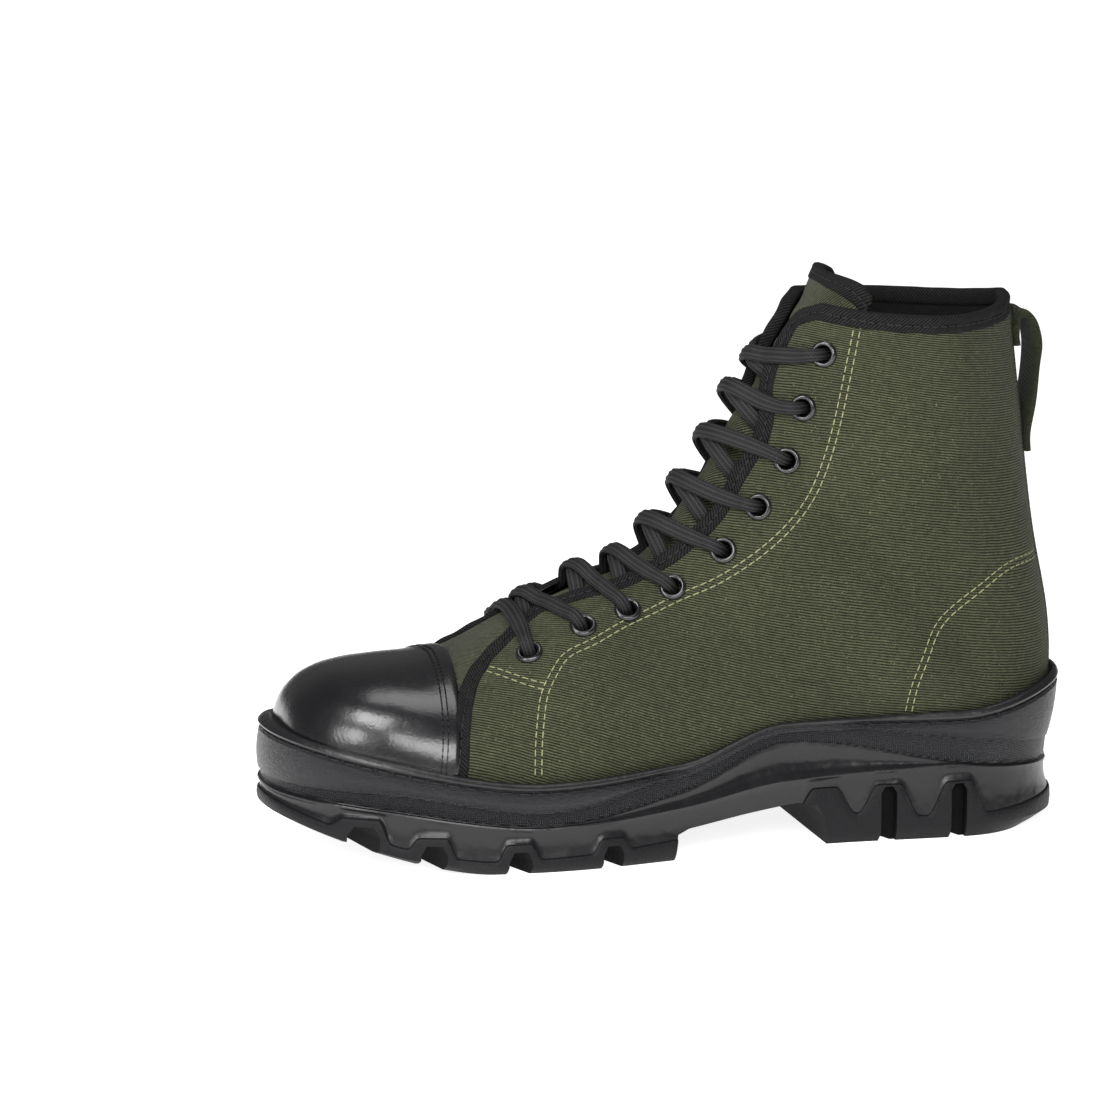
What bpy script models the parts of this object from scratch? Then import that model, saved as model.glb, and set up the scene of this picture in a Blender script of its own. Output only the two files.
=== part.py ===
"""Laced canvas jungle boot for the left foot, as separate named pieces.

Metres. +X points to the toe, +Y to the boot's outer side, +Z up.
The origin is on the floor under the middle of the heel.

The upper is a fan of sections. Station 0 is the toe tip and station 1 the heel, along the
lower edge of the last; from 1 to 2 the sections climb the back seam to the collar. In each
section the turn runs from 0 at the lower edge to 1 on the middle line of the instep.
"""

import math
from functools import lru_cache

import bmesh
import bpy
import numpy as np
from mathutils import Matrix, Vector
from mathutils.bvhtree import BVHTree

# Driving sizes
LAST_LENGTH = 0.290
HEEL_SEAT = 0.038
BALL_WIDTH = 0.100
HEEL_LIFT = 0.030
TOE_RISE = 0.045
SHAFT_HEIGHT = 0.204
WALL = 0.0022
CLEARANCE = 0.0005
MERGE = 1e-6

# Sole
RIM_HEIGHT = 0.048
SOLE_EDGE = 0.006
SOLE_SKIN = 0.0018
LIP_THICKNESS = 0.0028
TOE_SPRING = 0.018
HEEL_FRONT = 0.0535
ARCH_LENGTH = 0.062
ARCH_HEIGHT = 0.0155
NOTCH_WIDTH = 0.0085
NOTCH_DEPTH = 0.0085
HEEL_GROOVE_WIDTH = 0.0055
HEEL_GROOVE_HEIGHT = 0.021
HEEL_GROOVE_DEPTH = 0.0045
GROOVE_SLANT = math.radians(18)

# Overlays and inside pieces
CAP_THICKNESS = 0.0014
CAP_LENGTH = 0.060
INSOLE_THICKNESS = 0.004
INSOLE_MARGIN = 0.0012
TONGUE_THICKNESS = 0.0026
TONGUE_GAP = 0.0010

# Lacing
EYELET_RADIUS = 0.0050
EYELET_BORE = 0.0030
EYELET_FLANGE = 0.0009
EYELET_BARREL = 0.0005
LACE_WIDTH = 0.0048
LACE_THICKNESS = 0.0028

# Pull loop
LOOP_WIDTH = 0.015
LOOP_THICKNESS = 0.0026
LOOP_REACH = 0.0080

OUTER, INNER = 1, -1


class Table:
    """Named columns against a position, with a smooth curve through each column."""

    def __init__(self, columns, rows, level=False):
        data = np.array(rows, float)
        order = np.argsort(data[:, 0])
        self.names = columns.split()
        self.at = data[order, 0]
        self.values = data[order, 1:]
        self.slopes = self.level_slopes() if level else self.round_slopes()

    def round_slopes(self):
        """Slopes of the natural cubic spline, whose curvature has no jumps."""
        gap = np.diff(self.at)[:, None]
        rise = np.diff(self.values, axis=0) / gap
        count = len(self.at)
        matrix = np.zeros((count, count))
        right = np.zeros_like(self.values)
        matrix[0, :2] = 2, 1
        matrix[-1, -2:] = 1, 2
        right[0], right[-1] = 3 * rise[0], 3 * rise[-1]
        for i in range(1, count - 1):
            before, after = gap[i - 1, 0], gap[i, 0]
            matrix[i, i - 1 : i + 2] = after, 2 * (before + after), before
            right[i] = 3 * (after * rise[i - 1] + before * rise[i])
        return np.linalg.solve(matrix, right)

    def level_slopes(self):
        """Slopes that never pass the rows' own highs and lows."""
        rise = np.diff(self.values, axis=0) / np.diff(self.at)[:, None]
        slopes = np.zeros_like(self.values)
        slopes[0], slopes[-1] = rise[0], rise[-1]
        for i in range(1, len(self.at) - 1):
            same = rise[i - 1] * rise[i] > 0
            total = np.where(same, rise[i - 1] + rise[i], 1)
            slopes[i] = np.where(same, 2 * rise[i - 1] * rise[i] / total, 0)
        return slopes

    def __call__(self, at):
        i = int(np.clip(np.searchsorted(self.at, at) - 1, 0, len(self.at) - 2))
        gap = self.at[i + 1] - self.at[i]
        t = (at - self.at[i]) / gap
        if t < 0:
            row = self.values[i] + self.slopes[i] * (at - self.at[i])
        elif t > 1:
            row = self.values[i + 1] + self.slopes[i + 1] * (at - self.at[i + 1])
        else:
            low, high = (1 + 2 * t) * (1 - t) ** 2, t * t * (3 - 2 * t)
            leave, arrive = t * (1 - t) ** 2, t * t * (t - 1)
            row = low * self.values[i] + high * self.values[i + 1]
            row = row + gap * (leave * self.slopes[i] + arrive * self.slopes[i + 1])
        return dict(zip(self.names, row))


# Lower edge of the last seen from above. The share runs from the heel's back to the toe tip;
# half is the half width before the ends are rounded and centre its sideways shift, both as
# shares of the ball width.
OUTLINE = Table(
    "half centre",
    (
        (0.00, 0.310, 0.000),
        (0.12, 0.325, 0.000),
        (0.30, 0.325, 0.010),
        (0.42, 0.335, 0.040),
        (0.55, 0.390, 0.048),
        (0.65, 0.455, 0.030),
        (0.73, 0.482, 0.008),
        (0.82, 0.475, -0.015),
        (0.90, 0.450, -0.035),
        (1.00, 0.425, -0.055),
    ),
)
HEEL_ROUND, HEEL_ROUND_CURVE = 0.115, 2.1
HEEL_ROUND_GROWTH = 0.20
TOE_ROUND, TOE_ROUND_CURVE = 0.200, 2.25

# Height of the last's underside, as a share of the heel lift.
FLOOR = Table(
    "height",
    (
        (0.00, 1.00),
        (0.20, 1.00),
        (0.35, 0.94),
        (0.50, 0.78),
        (0.62, 0.68),
        (0.72, 0.66),
        (0.82, 0.71),
        (0.92, 0.84),
        (1.00, 0.95),
    ),
)

# The sections. top_x is the share of the last's length at the instep's middle line; its
# height is the heel lift plus shares of the toe rise and of the shaft above it. swell is how
# far the widest point stands out, and ridge the middle line's sideways place, in ball widths;
# widest is how far up the section the widest point is, and arch the upper curve's exponent.
# seat is 1 where points crowd towards the lower end, as they do round the heel.
SECTIONS = Table(
    "top_x toe_rise shaft_rise swell ridge widest arch seat",
    (
        (0.00, 1.0000, -0.033, 0.000, 0.000, -0.055, 0.42, 2.20, 0.0),
        (0.05, 0.9940, 0.450, 0.000, 0.110, -0.054, 0.42, 2.30, 0.0),
        (0.10, 0.9753, 0.672, 0.000, 0.140, -0.052, 0.38, 2.40, 0.0),
        (0.15, 0.9451, 0.785, 0.000, 0.150, -0.050, 0.34, 2.45, 0.0),
        (0.20, 0.9038, 0.836, 0.000, 0.150, -0.047, 0.32, 2.50, 0.0),
        (0.25, 0.8530, 0.868, 0.000, 0.150, -0.044, 0.30, 2.30, 0.0),
        (0.30, 0.7926, 0.915, 0.004, 0.160, -0.040, 0.28, 2.10, 0.0),
        (0.35, 0.7251, 0.958, 0.064, 0.160, -0.036, 0.26, 1.95, 0.0),
        (0.40, 0.6536, 1.000, 0.138, 0.165, -0.030, 0.25, 1.86, 0.0),
        (0.50, 0.5534, 1.000, 0.233, 0.170, -0.020, 0.24, 1.80, 0.0),
        (0.60, 0.4966, 1.000, 0.360, 0.190, -0.014, 0.27, 1.75, 0.0),
        (0.70, 0.4653, 1.000, 0.461, 0.190, -0.010, 0.32, 1.80, 0.0),
        (0.80, 0.4412, 1.000, 0.558, 0.245, -0.006, 0.38, 1.85, 0.0),
        (0.90, 0.4220, 1.000, 0.632, 0.199, -0.003, 0.42, 1.90, 1.0),
        (1.00, 0.4086, 1.000, 0.682, 0.169, 0.000, 0.45, 1.95, 1.0),
        (1.25, 0.3928, 1.000, 0.734, 0.172, 0.000, 0.47, 2.00, 1.0),
        (1.50, 0.3707, 1.000, 0.818, 0.188, 0.000, 0.49, 2.05, 1.0),
        (1.75, 0.3482, 1.000, 0.895, 0.203, 0.000, 0.50, 2.10, 1.0),
        (2.00, 0.3242, 1.000, 0.981, 0.211, 0.000, 0.50, 2.10, 1.0),
    ),
)

# The back seam above station 1: its place as a share of the last's length from the heel's
# back, and how far it has climbed from the heel lift to the shaft's height.
BACK_SEAM = Table(
    "back_x climb",
    (
        (1.00, 0.000, 0.000),
        (1.15, -0.0088, 0.144),
        (1.30, -0.0048, 0.287),
        (1.45, 0.0105, 0.420),
        (1.70, 0.0297, 0.658),
        (2.00, 0.0510, 0.978),
    ),
)

# Half of the throat's gap over the tongue, measured on the upper, in ball widths.
THROAT_START = 0.385
THROAT = Table(
    "gap",
    (
        (0.385, 0.00),
        (0.400, 0.055),
        (0.450, 0.095),
        (0.500, 0.130),
        (0.600, 0.175),
        (0.700, 0.195),
        (0.850, 0.195),
        (1.000, 0.180),
        (1.250, 0.120),
        (1.500, 0.090),
        (1.800, 0.085),
        (1.900, 0.110),
        (2.000, 0.200),
    ),
    level=True,
)

# Eyelets of one side from the toe end up: station, and distance from the instep's middle
# line measured on the upper, in ball widths.
EYELETS = (
    (0.368, 0.318),
    (0.420, 0.302),
    (0.475, 0.285),
    (0.545, 0.288),
    (0.650, 0.325),
    (0.775, 0.350),
    (0.960, 0.345),
    (1.350, 0.305),
    (1.700, 0.296),
)

# Lines that run round the sole, at seven places: tip, toe, ball, arch, waist, heel and back.
# Heights are shares of the rim's height; offsets stand out from the last's edge, as shares of
# the sole's edge.
PLACES = (1.000, 0.897, 0.702, 0.520, 0.377, 0.137, 0.000)
SOLE_HEIGHTS = {
    "lip_top": (1.025, 0.885, 0.69, 0.757, 1.00, 1.01, 1.21),
    "lip_low": (0.965, 0.82, 0.635, 0.72, 0.985, 0.94, 1.14),
    "band_top": (0.635, 0.63, 0.465, 0.705, 0.965, 0.79, 0.667),
    "band_low": (0.57, 0.515, 0.365, 0.54, 0.84, 0.60, 0.51),
    "ridge": (0.555, 0.50, 0.35, 0.425, 0.55, 0.585, 0.49),
    "skirt": (0.49, 0.39, 0.22, 0.30, 0.42, 0.38, 0.35),
    "tread_edge": (0.43, 0.285, 0.092, 0.10, 0.15, 0.185, 0.20),
}
SOLE_OFFSETS = {
    "lip_low": (1.15, 1.30, 1.22, 1.06, 0.92, 1.02, 1.15),
    "band_top": (1.25, 1.43, 1.33, 1.10, 0.95, 0.95, 0.55),
    "band_low": (1.15, 1.33, 1.20, 1.05, 0.88, 0.85, 0.40),
    "ridge": (1.20, 1.37, 1.23, 1.08, 0.86, 0.80, 0.38),
    "skirt": (1.15, 1.33, 1.17, 1.00, 0.60, 0.80, 0.40),
    "tread_edge": (1.15, 1.47, 1.33, 1.08, 0.50, 0.93, 0.60),
    "tread": (0.50, 1.00, 1.13, 0.90, 0.30, 0.67, -0.90),
}


def line_table(rows):
    """A table along the last of every line round the sole."""
    columns = list(zip(PLACES, *rows.values()))
    return Table(" ".join(rows), columns, level=True)


HEIGHTS = line_table(SOLE_HEIGHTS)
OFFSETS = line_table(SOLE_OFFSETS)


def share_at(station):
    """Share of the last's length at a station, crowded towards both ends."""
    return (1 + math.cos(math.pi * station)) / 2


def length_x(share):
    return share * LAST_LENGTH - HEEL_SEAT


def floor_height(share):
    return FLOOR(share)["height"] * HEEL_LIFT


def rounding(inside, exponent):
    """1 inside, falling to 0 at the end of a rounded stretch."""
    return max(0.0, 1 - max(0.0, inside) ** exponent) ** (1 / exponent)


def open_half(share):
    """Half width and centre of the last's lower edge before the heel is rounded."""
    row = OUTLINE(share)
    toe = rounding((share - 1 + TOE_ROUND) / TOE_ROUND, TOE_ROUND_CURVE)
    return row["half"] * toe * BALL_WIDTH, row["centre"] * BALL_WIDTH


def outline_half(share):
    """Half width and centre of the last's lower edge."""
    half, centre = open_half(share)
    return half * rounding((HEEL_ROUND - share) / HEEL_ROUND, HEEL_ROUND_CURVE), centre


SEAM_STEPS = np.linspace(1, 2.4, 141)
SEAM_X = np.array([length_x(BACK_SEAM(k)["back_x"]) for k in SEAM_STEPS])
SEAM_CLIMB = np.array([BACK_SEAM(k)["climb"] for k in SEAM_STEPS])


def heel_closing(x, z):
    """1 in front of the heel's round back, falling to 0 at the back seam."""
    climb = (z - HEEL_LIFT) / (SHAFT_HEIGHT - HEEL_LIFT)
    back = np.interp(climb, SEAM_CLIMB, SEAM_X)
    radius = HEEL_ROUND * LAST_LENGTH * (1 + HEEL_ROUND_GROWTH * min(1.0, max(0.0, climb)))
    return rounding((back + radius - x) / radius, HEEL_ROUND_CURVE)


@lru_cache(maxsize=4096)
def section(station):
    """The section's lower and upper ends, widths and curves."""
    row = SECTIONS(station)
    shaft = SHAFT_HEIGHT - HEEL_LIFT - TOE_RISE
    top_z = HEEL_LIFT + row["toe_rise"] * TOE_RISE + row["shaft_rise"] * shaft
    if station <= 1:
        share = share_at(station)
        half, centre = open_half(share)
        foot = (length_x(share), floor_height(share))
    else:
        back = BACK_SEAM(station)
        half, centre = open_half(0.0)
        climb = back["climb"] * (SHAFT_HEIGHT - HEEL_LIFT)
        foot = (length_x(back["back_x"]), HEEL_LIFT + climb)
    return {
        "foot": foot,
        "top": (length_x(row["top_x"]), top_z),
        "foot_half": half,
        "half": math.hypot(half, max(row["swell"], 0.0) * BALL_WIDTH),
        "centre": centre,
        "ridge": row["ridge"] * BALL_WIDTH,
        "widest": row["widest"],
        "arch": row["arch"],
        "seat": min(1.0, max(0.0, row["seat"])),
    }


def upper_point(station, side, turn):
    """Point on the outside of the upper."""
    s = section(station)
    height = math.dist(s["foot"], s["top"])
    low = math.hypot(s["widest"] * height, s["half"] - s["foot_half"])
    high = math.hypot((1 - s["widest"]) * height, s["half"])
    split = low / (low + high)
    if turn <= split:
        part = turn / split
        crowded = 1 - math.cos(math.pi / 2 * part)
        part += (crowded - part) * s["seat"]
        rise = s["widest"] * part
        out = s["foot_half"] + (s["half"] - s["foot_half"]) * part * part * (3 - 2 * part)
    else:
        angle = math.pi / 2 * min(1.0, (turn - split) / (1 - split))
        power = 2 / s["arch"]
        rise = s["widest"] + (1 - s["widest"]) * math.sin(angle) ** power
        out = s["half"] * max(0.0, math.cos(angle)) ** power
    x = s["foot"][0] + (s["top"][0] - s["foot"][0]) * rise
    z = s["foot"][1] + (s["top"][1] - s["foot"][1]) * rise
    out *= heel_closing(x, z)
    y = s["centre"] + (s["ridge"] - s["centre"]) * rise + side * out
    return np.array((x, y, z))


def lifted_point(station, side, turn, lift):
    """Point at a height over the outside of the upper, along its normal."""
    step = 0.004
    low, high = max(turn - step, 0.0), min(turn + step, 1.0)
    along = upper_point(station + step, side, turn) - upper_point(station - step, side, turn)
    if high == 1.0:
        across = upper_point(station, side, low) - upper_point(station, -side, low)
        across = across * -1
    else:
        across = upper_point(station, side, high) - upper_point(station, side, low)
    normal = np.cross(along, across) * side
    normal /= np.linalg.norm(normal)
    return upper_point(station, side, turn) + normal * lift


ARC_STEPS = 60


def turn_at_arc(station, side, arc):
    """The turn that lies an arc's length down from the instep's middle line."""
    if arc <= 0:
        return 1.0
    turns = np.linspace(1, 0, ARC_STEPS + 1)
    points = np.array([upper_point(station, side, t) for t in turns])
    lengths = np.concatenate(([0], np.cumsum(np.linalg.norm(np.diff(points, axis=0), axis=1))))
    return float(np.interp(arc, lengths, turns))


def arc_point(station, arc, lift):
    """Point at a signed arc's length from the instep's middle line."""
    side = OUTER if arc >= 0 else INNER
    return lifted_point(station, side, turn_at_arc(station, side, abs(arc)), lift)


def throat_gap(station):
    return THROAT(station)["gap"] * BALL_WIDTH if station > THROAT_START else 0.0


def to_mesh(name, points, faces):
    """Mesh of the points with doubled ones merged and its faces turned outwards."""
    bm = bmesh.new()
    made = [bm.verts.new(p) for p in points]
    for face in faces:
        bm.faces.new([made[i] for i in face])
    bmesh.ops.remove_doubles(bm, verts=bm.verts, dist=MERGE)
    bmesh.ops.dissolve_degenerate(bm, edges=bm.edges, dist=MERGE)
    bmesh.ops.recalc_face_normals(bm, faces=bm.faces)
    mesh = bpy.data.meshes.new(name)
    bm.to_mesh(mesh)
    bm.free()
    return mesh


def grid_faces(rows, columns, offset=0, flip=False):
    """Quads of a grid of points stored row after row."""
    faces = []
    for r in range(rows - 1):
        for c in range(columns - 1):
            a = offset + r * columns + c
            b, c, d = a + 1, a + columns + 1, a + columns
            faces.append((a, d, c, b) if flip else (a, b, c, d))
    return faces


def slab(name, top, bottom):
    """Closed sheet between two grids of points that have the same rows and columns."""
    rows, columns = len(top), len(top[0])
    points = [p for row in top for p in row] + [p for row in bottom for p in row]
    count = rows * columns
    faces = grid_faces(rows, columns) + grid_faces(rows, columns, count, True)
    first = list(range(columns))
    last = [(rows - 1) * columns + c for c in range(columns)]
    left = [r * columns for r in range(rows)]
    right = [r * columns + columns - 1 for r in range(rows)]
    for edge in (first, last, left, right):
        for a, b in zip(edge, edge[1:]):
            faces.append((a, b, b + count, a + count))
    return to_mesh(name, points, faces)


def ring_body(name, rings, close_rings=False):
    """Closed body through rings of points; its ends are capped unless the rings meet."""
    count = len(rings[0])
    points = [p for ring in rings for p in ring]
    faces = []
    steps = len(rings) if close_rings else len(rings) - 1
    for r in range(steps):
        low, high = r * count, (r + 1) % len(rings) * count
        for i in range(count):
            j = (i + 1) % count
            faces.append((low + i, low + j, high + j, high + i))
    if not close_rings:
        faces.append(tuple(range(count)))
        faces.append(tuple(range(len(points) - count, len(points))))
    return to_mesh(name, points, faces)


def material(name, color, roughness, metallic=0.0):
    made = bpy.data.materials.new(name)
    made.use_nodes = True
    shader = next(n for n in made.node_tree.nodes if n.type == "BSDF_PRINCIPLED")
    shader.inputs["Base Color"].default_value = (*color, 1)
    shader.inputs["Roughness"].default_value = roughness
    shader.inputs["Metallic"].default_value = metallic
    return made


def place(name, mesh, collection, look=None, matrix=None):
    made = bpy.data.objects.new(name, mesh)
    collection.objects.link(made)
    if look and not mesh.materials:
        mesh.materials.append(look)
    if matrix is not None:
        made.matrix_world = matrix
    return made


def add_cutter(body, name, mesh, cutters):
    """Subtract a mesh, kept as an object of the cutters' collection."""
    tool = place(name, mesh, cutters)
    tool.hide_render = True
    tool.display_type = "WIRE"
    cut = body.modifiers.new(name, "BOOLEAN")
    cut.operation = "DIFFERENCE"
    cut.solver = "EXACT"
    cut.object = tool


# Rows and columns of the upper's mesh.
TOE_ROWS = [i * 0.03 for i in range(12)] + [0.358, THROAT_START]
INSTEP_ROWS = [0.400, 0.425] + [0.455 + i * 0.035 for i in range(5)]
ANKLE_ROWS = [0.635 + i * 0.0455 for i in range(8)]
SHAFT_ROWS = [1.0 + i * 0.09 for i in range(10)] + [1.88, 1.94, 2.0]
UPPER_ROWS = TOE_ROWS + INSTEP_ROWS + ANKLE_ROWS + SHAFT_ROWS
SIDE_STEPS = 12
COLLAR_SAG = 0.035
COLLAR_START = 1.6


def collar_station(station, turn):
    """Lower the collar's line a little at the boot's sides."""
    share = max(0.0, (station - COLLAR_START) / (2 - COLLAR_START))
    return station - COLLAR_SAG * share * math.sin(math.pi * turn)


def upper_side(side):
    rows = []
    for station in UPPER_ROWS:
        end = turn_at_arc(station, side, throat_gap(station))
        turns = np.linspace(0, end, SIDE_STEPS + 1)
        rows.append([upper_point(collar_station(station, t), side, t) for t in turns])
    return rows


def surface_frame(station, arc, lift=0.0):
    """Frame on the upper: X along the boot, Z out of the surface."""
    spot = Vector(arc_point(station, arc, 0))
    normal = (Vector(arc_point(station, arc, 0.001)) - spot).normalized()
    along = Vector(arc_point(station + 0.01, arc, 0)) - spot
    across = normal.cross(along).normalized()
    along = across.cross(normal)
    frame = Matrix((along, across, normal)).transposed().to_4x4()
    frame.translation = spot + normal * lift
    return frame


def eyelet_places():
    """Station, signed arc and name of every eyelet."""
    for side, word in ((OUTER, "outer"), (INNER, "inner")):
        for i, (station, reach) in enumerate(EYELETS):
            yield station, side * reach * BALL_WIDTH, f"eyelet_{word}_{i + 1}"


HOLE_SIDES = 8
HOLE_REACH = 0.006


def hole_cutters():
    bm = bmesh.new()
    radius = EYELET_BORE + EYELET_BARREL + 2 * CLEARANCE
    for station, arc, _ in eyelet_places():
        bmesh.ops.create_cone(
            bm,
            cap_ends=True,
            segments=HOLE_SIDES,
            radius1=radius,
            radius2=radius,
            depth=2 * HOLE_REACH,
            matrix=surface_frame(station, arc),
        )
    mesh = bpy.data.meshes.new("hole_cutters")
    bm.to_mesh(mesh)
    bm.free()
    return mesh


def build_upper(collection, cutters, look):
    points, faces = [], []
    columns = SIDE_STEPS + 1
    for side in (OUTER, INNER):
        rows = upper_side(side)
        faces += grid_faces(len(rows), columns, len(points), side == INNER)
        points += [p for row in rows for p in row]
    mesh = to_mesh("upper", points, faces)
    body = place("upper", mesh, collection, look)
    wall = body.modifiers.new("wall", "SOLIDIFY")
    wall.thickness = WALL
    wall.offset = -1
    add_cutter(body, "eyelet_holes", hole_cutters(), cutters)
    return body


def surface_tree():
    """Search tree of the upper's outside, with the two sides closed over the throat."""
    points, faces = [], []
    stations = np.concatenate((np.linspace(0, 1, 61), np.linspace(1.02, 1.5, 25)))
    turns = np.linspace(0, 1, 41)
    for side in (OUTER, INNER):
        faces += grid_faces(len(stations), len(turns), len(points))
        points += [Vector(upper_point(k, side, t)) for k in stations for t in turns]
    return BVHTree.FromPolygons(points, faces)


def edge_xy(station, side):
    share = share_at(station)
    half, centre = outline_half(share)
    return np.array((length_x(share), centre + side * half))


def edge_frame(station, side):
    """Point and outward direction on the last's lower edge, seen from above."""
    step = 0.001
    tangent = edge_xy(min(station + step, 1), side) - edge_xy(max(station - step, 0), side)
    normal = np.array((tangent[1], -tangent[0])) * side
    return edge_xy(station, side), normal / np.linalg.norm(normal)


PROBE = 0.06


def cup_reach(tree, spot, normal, height, gap):
    """How far the upper stands out from the last's edge at a height, with a gap."""
    start = spot + normal * PROBE
    ray = Vector((*-normal, 0))
    hit = tree.ray_cast(Vector((*start, height)), ray, 2 * PROBE)[0]
    if hit is None:
        return gap
    return float(np.dot(np.array(hit)[:2] - spot, normal)) + gap


def spring_height(x):
    """Height of the tread over the floor, which rises towards the toe."""
    start, tip = length_x(SPRING_START), length_x(1) + SOLE_EDGE
    return TOE_SPRING * max(0.0, (x - start) / (tip - start)) ** 1.5


SPRING_START = 0.77
SOLE_STATIONS = 38
CUP_ROWS = (0.0, 0.10, 0.25, 0.5, 0.78, 1.0)
CUP_GAP = 0.0007
LIP_CROWN = 0.0007


def sole_column(tree, station, side):
    """Points up the inside of the sole's cup and down its outside."""
    spot, normal = edge_frame(station, side)
    share = share_at(station)
    base = floor_height(share) - CLEARANCE
    heights, offsets = HEIGHTS(share), OFFSETS(share)
    lip = heights["lip_top"] * RIM_HEIGHT

    def point(out, height):
        return np.array((*(spot + normal * out), height))

    column = [point(CUP_GAP, base)]
    for part in CUP_ROWS[1:]:
        height = base + (lip - LIP_CROWN - base) * part
        column.append(point(cup_reach(tree, spot, normal, height, CUP_GAP), height))
    inside = cup_reach(tree, spot, normal, lip, CUP_GAP)
    column.append(point(inside + 0.45 * LIP_THICKNESS, lip))
    column.append(point(inside + LIP_THICKNESS, lip - LIP_CROWN))
    for name in SOLE_OFFSETS:
        out = offsets[name] * SOLE_EDGE
        if name == "tread":
            height = spring_height(length_x(share) + normal[0] * out)
        else:
            height = heights[name] * RIM_HEIGHT
            if height > base:
                reach = cup_reach(tree, spot, normal, height, CUP_GAP)
                out = max(out, reach + SOLE_SKIN)
        column.append(point(out, height))
    return column


def prism(profile, start, end):
    """Body between two copies of a profile of (x, height) at two (x, y) places."""
    rings = []
    for place_x, place_y in (start, end):
        rings.append([(place_x + u, place_y, height) for u, height in profile])
    return rings


NOTCH_PLACES = (0.142, 0.177, 0.208, 0.232)
HEEL_GROOVES = (0.003, 0.030)
CENTRE_RIB = 0.009
OUTSIDE = 0.075
BELOW = -0.01


def groove_path(x, side, rib):
    """From outside the sole's edge inwards, slanting towards the toe."""
    half, _ = outline_half((x + HEEL_SEAT) / LAST_LENGTH)
    edge = half + SOLE_EDGE
    lean = math.tan(GROOVE_SLANT)
    start = (x - lean * (OUTSIDE - edge), side * OUTSIDE)
    return start, (x + lean * (edge - rib), side * rib)


def tread_cutters():
    """Arch, forefoot notches and heel grooves, as rings of prisms."""
    front = HEEL_FRONT + ARCH_LENGTH
    top = ARCH_HEIGHT
    arch = (
        (HEEL_FRONT, BELOW),
        (HEEL_FRONT, -0.0005),
        (HEEL_FRONT + 0.0015, 0.70 * top),
        (HEEL_FRONT + 0.0045, 1.00 * top),
        (HEEL_FRONT + 0.0120, 1.08 * top),
        (HEEL_FRONT + 0.0345, 0.92 * top),
        (front - 0.0060, 0.74 * top),
        (front - 0.0015, 0.62 * top),
        (front, -0.0005),
        (front, BELOW),
    )
    bodies = [prism(arch, (0, OUTSIDE), (0, -OUTSIDE))]
    rounded = ((-0.5, 0.60), (-0.3, 1.0), (0.3, 1.0), (0.5, 0.60))
    for side in (OUTER, INNER):
        for x in NOTCH_PLACES:
            base = spring_height(x)
            profile = [(-0.5 * NOTCH_WIDTH, base + BELOW)]
            profile += [(u * NOTCH_WIDTH, base + v * NOTCH_DEPTH) for u, v in rounded]
            profile.append((0.5 * NOTCH_WIDTH, base + BELOW))
            bodies.append(prism(profile, *groove_path(x, side, CENTRE_RIB)))
        for x in HEEL_GROOVES:
            profile = [(-0.5 * HEEL_GROOVE_WIDTH, BELOW)]
            profile += [(u * HEEL_GROOVE_WIDTH, v * NOTCH_DEPTH * 0.7) for u, v in rounded]
            profile.append((0.5 * HEEL_GROOVE_WIDTH, BELOW))
            bodies.append(prism(profile, *groove_path(x, side, CENTRE_RIB)))
    return bodies


def pocket_cutters():
    """Upright pockets in the heel's side wall over the heel grooves."""
    bodies = []
    rounded = ((-0.5, 0.88), (-0.25, 1.0), (0.25, 1.0), (0.5, 0.88))
    for side in (OUTER, INNER):
        for x in HEEL_GROOVES:
            half, centre = outline_half((x + HEEL_SEAT) / LAST_LENGTH)
            width, height = HEEL_GROOVE_WIDTH * 1.1, HEEL_GROOVE_HEIGHT
            profile = [(-0.5 * width, BELOW)]
            profile += [(u * width, v * height) for u, v in rounded]
            profile.append((0.5 * width, BELOW))
            inside = centre * side + half + SOLE_EDGE - HEEL_GROOVE_DEPTH
            bodies.append(prism(profile, (x, side * OUTSIDE), (x, side * inside)))
    return bodies


def join_rings(name, bodies):
    """One mesh of several capped bodies."""
    points, faces = [], []
    for rings in bodies:
        count, offset = len(rings[0]), len(points)
        points += [p for ring in rings for p in ring]
        for i in range(count):
            j = (i + 1) % count
            faces.append((offset + i, offset + j, offset + count + j, offset + count + i))
        faces.append(tuple(range(offset, offset + count)))
        faces.append(tuple(range(offset + count, offset + 2 * count)))
    return to_mesh(name, points, faces)


def build_sole(collection, cutters, look):
    tree = surface_tree()
    stations = np.linspace(1, 0, SOLE_STATIONS + 1)
    columns = [sole_column(tree, k, OUTER) for k in stations]
    columns += [sole_column(tree, k, INNER) for k in stations[::-1][1:-1]]
    height = len(columns[0])
    points = [p for column in columns for p in column]
    faces = []
    total = len(columns)
    for i in range(total):
        j = (i + 1) % total
        for r in range(height - 1):
            faces.append((i * height + r, j * height + r, j * height + r + 1, i * height + r + 1))
    for row in (0, height - 1):
        for i in range(SOLE_STATIONS):
            a, b = i, i + 1
            c, d = (total - b) % total, (total - a) % total
            quad = [a, b, c] if c == d else [a, b, c, d]
            quad = [q for n, q in enumerate(quad) if q not in quad[:n]]
            faces.append(tuple(q * height + row for q in quad))
    body = place("sole", to_mesh("sole", points, faces), collection, look)
    add_cutter(body, "tread_cutters", join_rings("tread_cutters", tread_cutters()), cutters)
    add_cutter(body, "heel_pockets", join_rings("heel_pockets", pocket_cutters()), cutters)
    return body


CAP_ROWS = 10
CAP_STEPS = 7
CAP_LEAN = 0.025
CAP_START = 0.055
CAP_SEARCH = 0.005
CAP_LOWEST = 0.9
CAP_GAP = 0.0008


def cap_station():
    """Station whose upper end lies where the toe cap stops."""
    stations = np.linspace(0.1, 0.45, 141)
    reach = [section(k)["top"][0] for k in stations]
    return float(np.interp(-(length_x(1) - CAP_LENGTH), -np.array(reach), stations))


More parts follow.
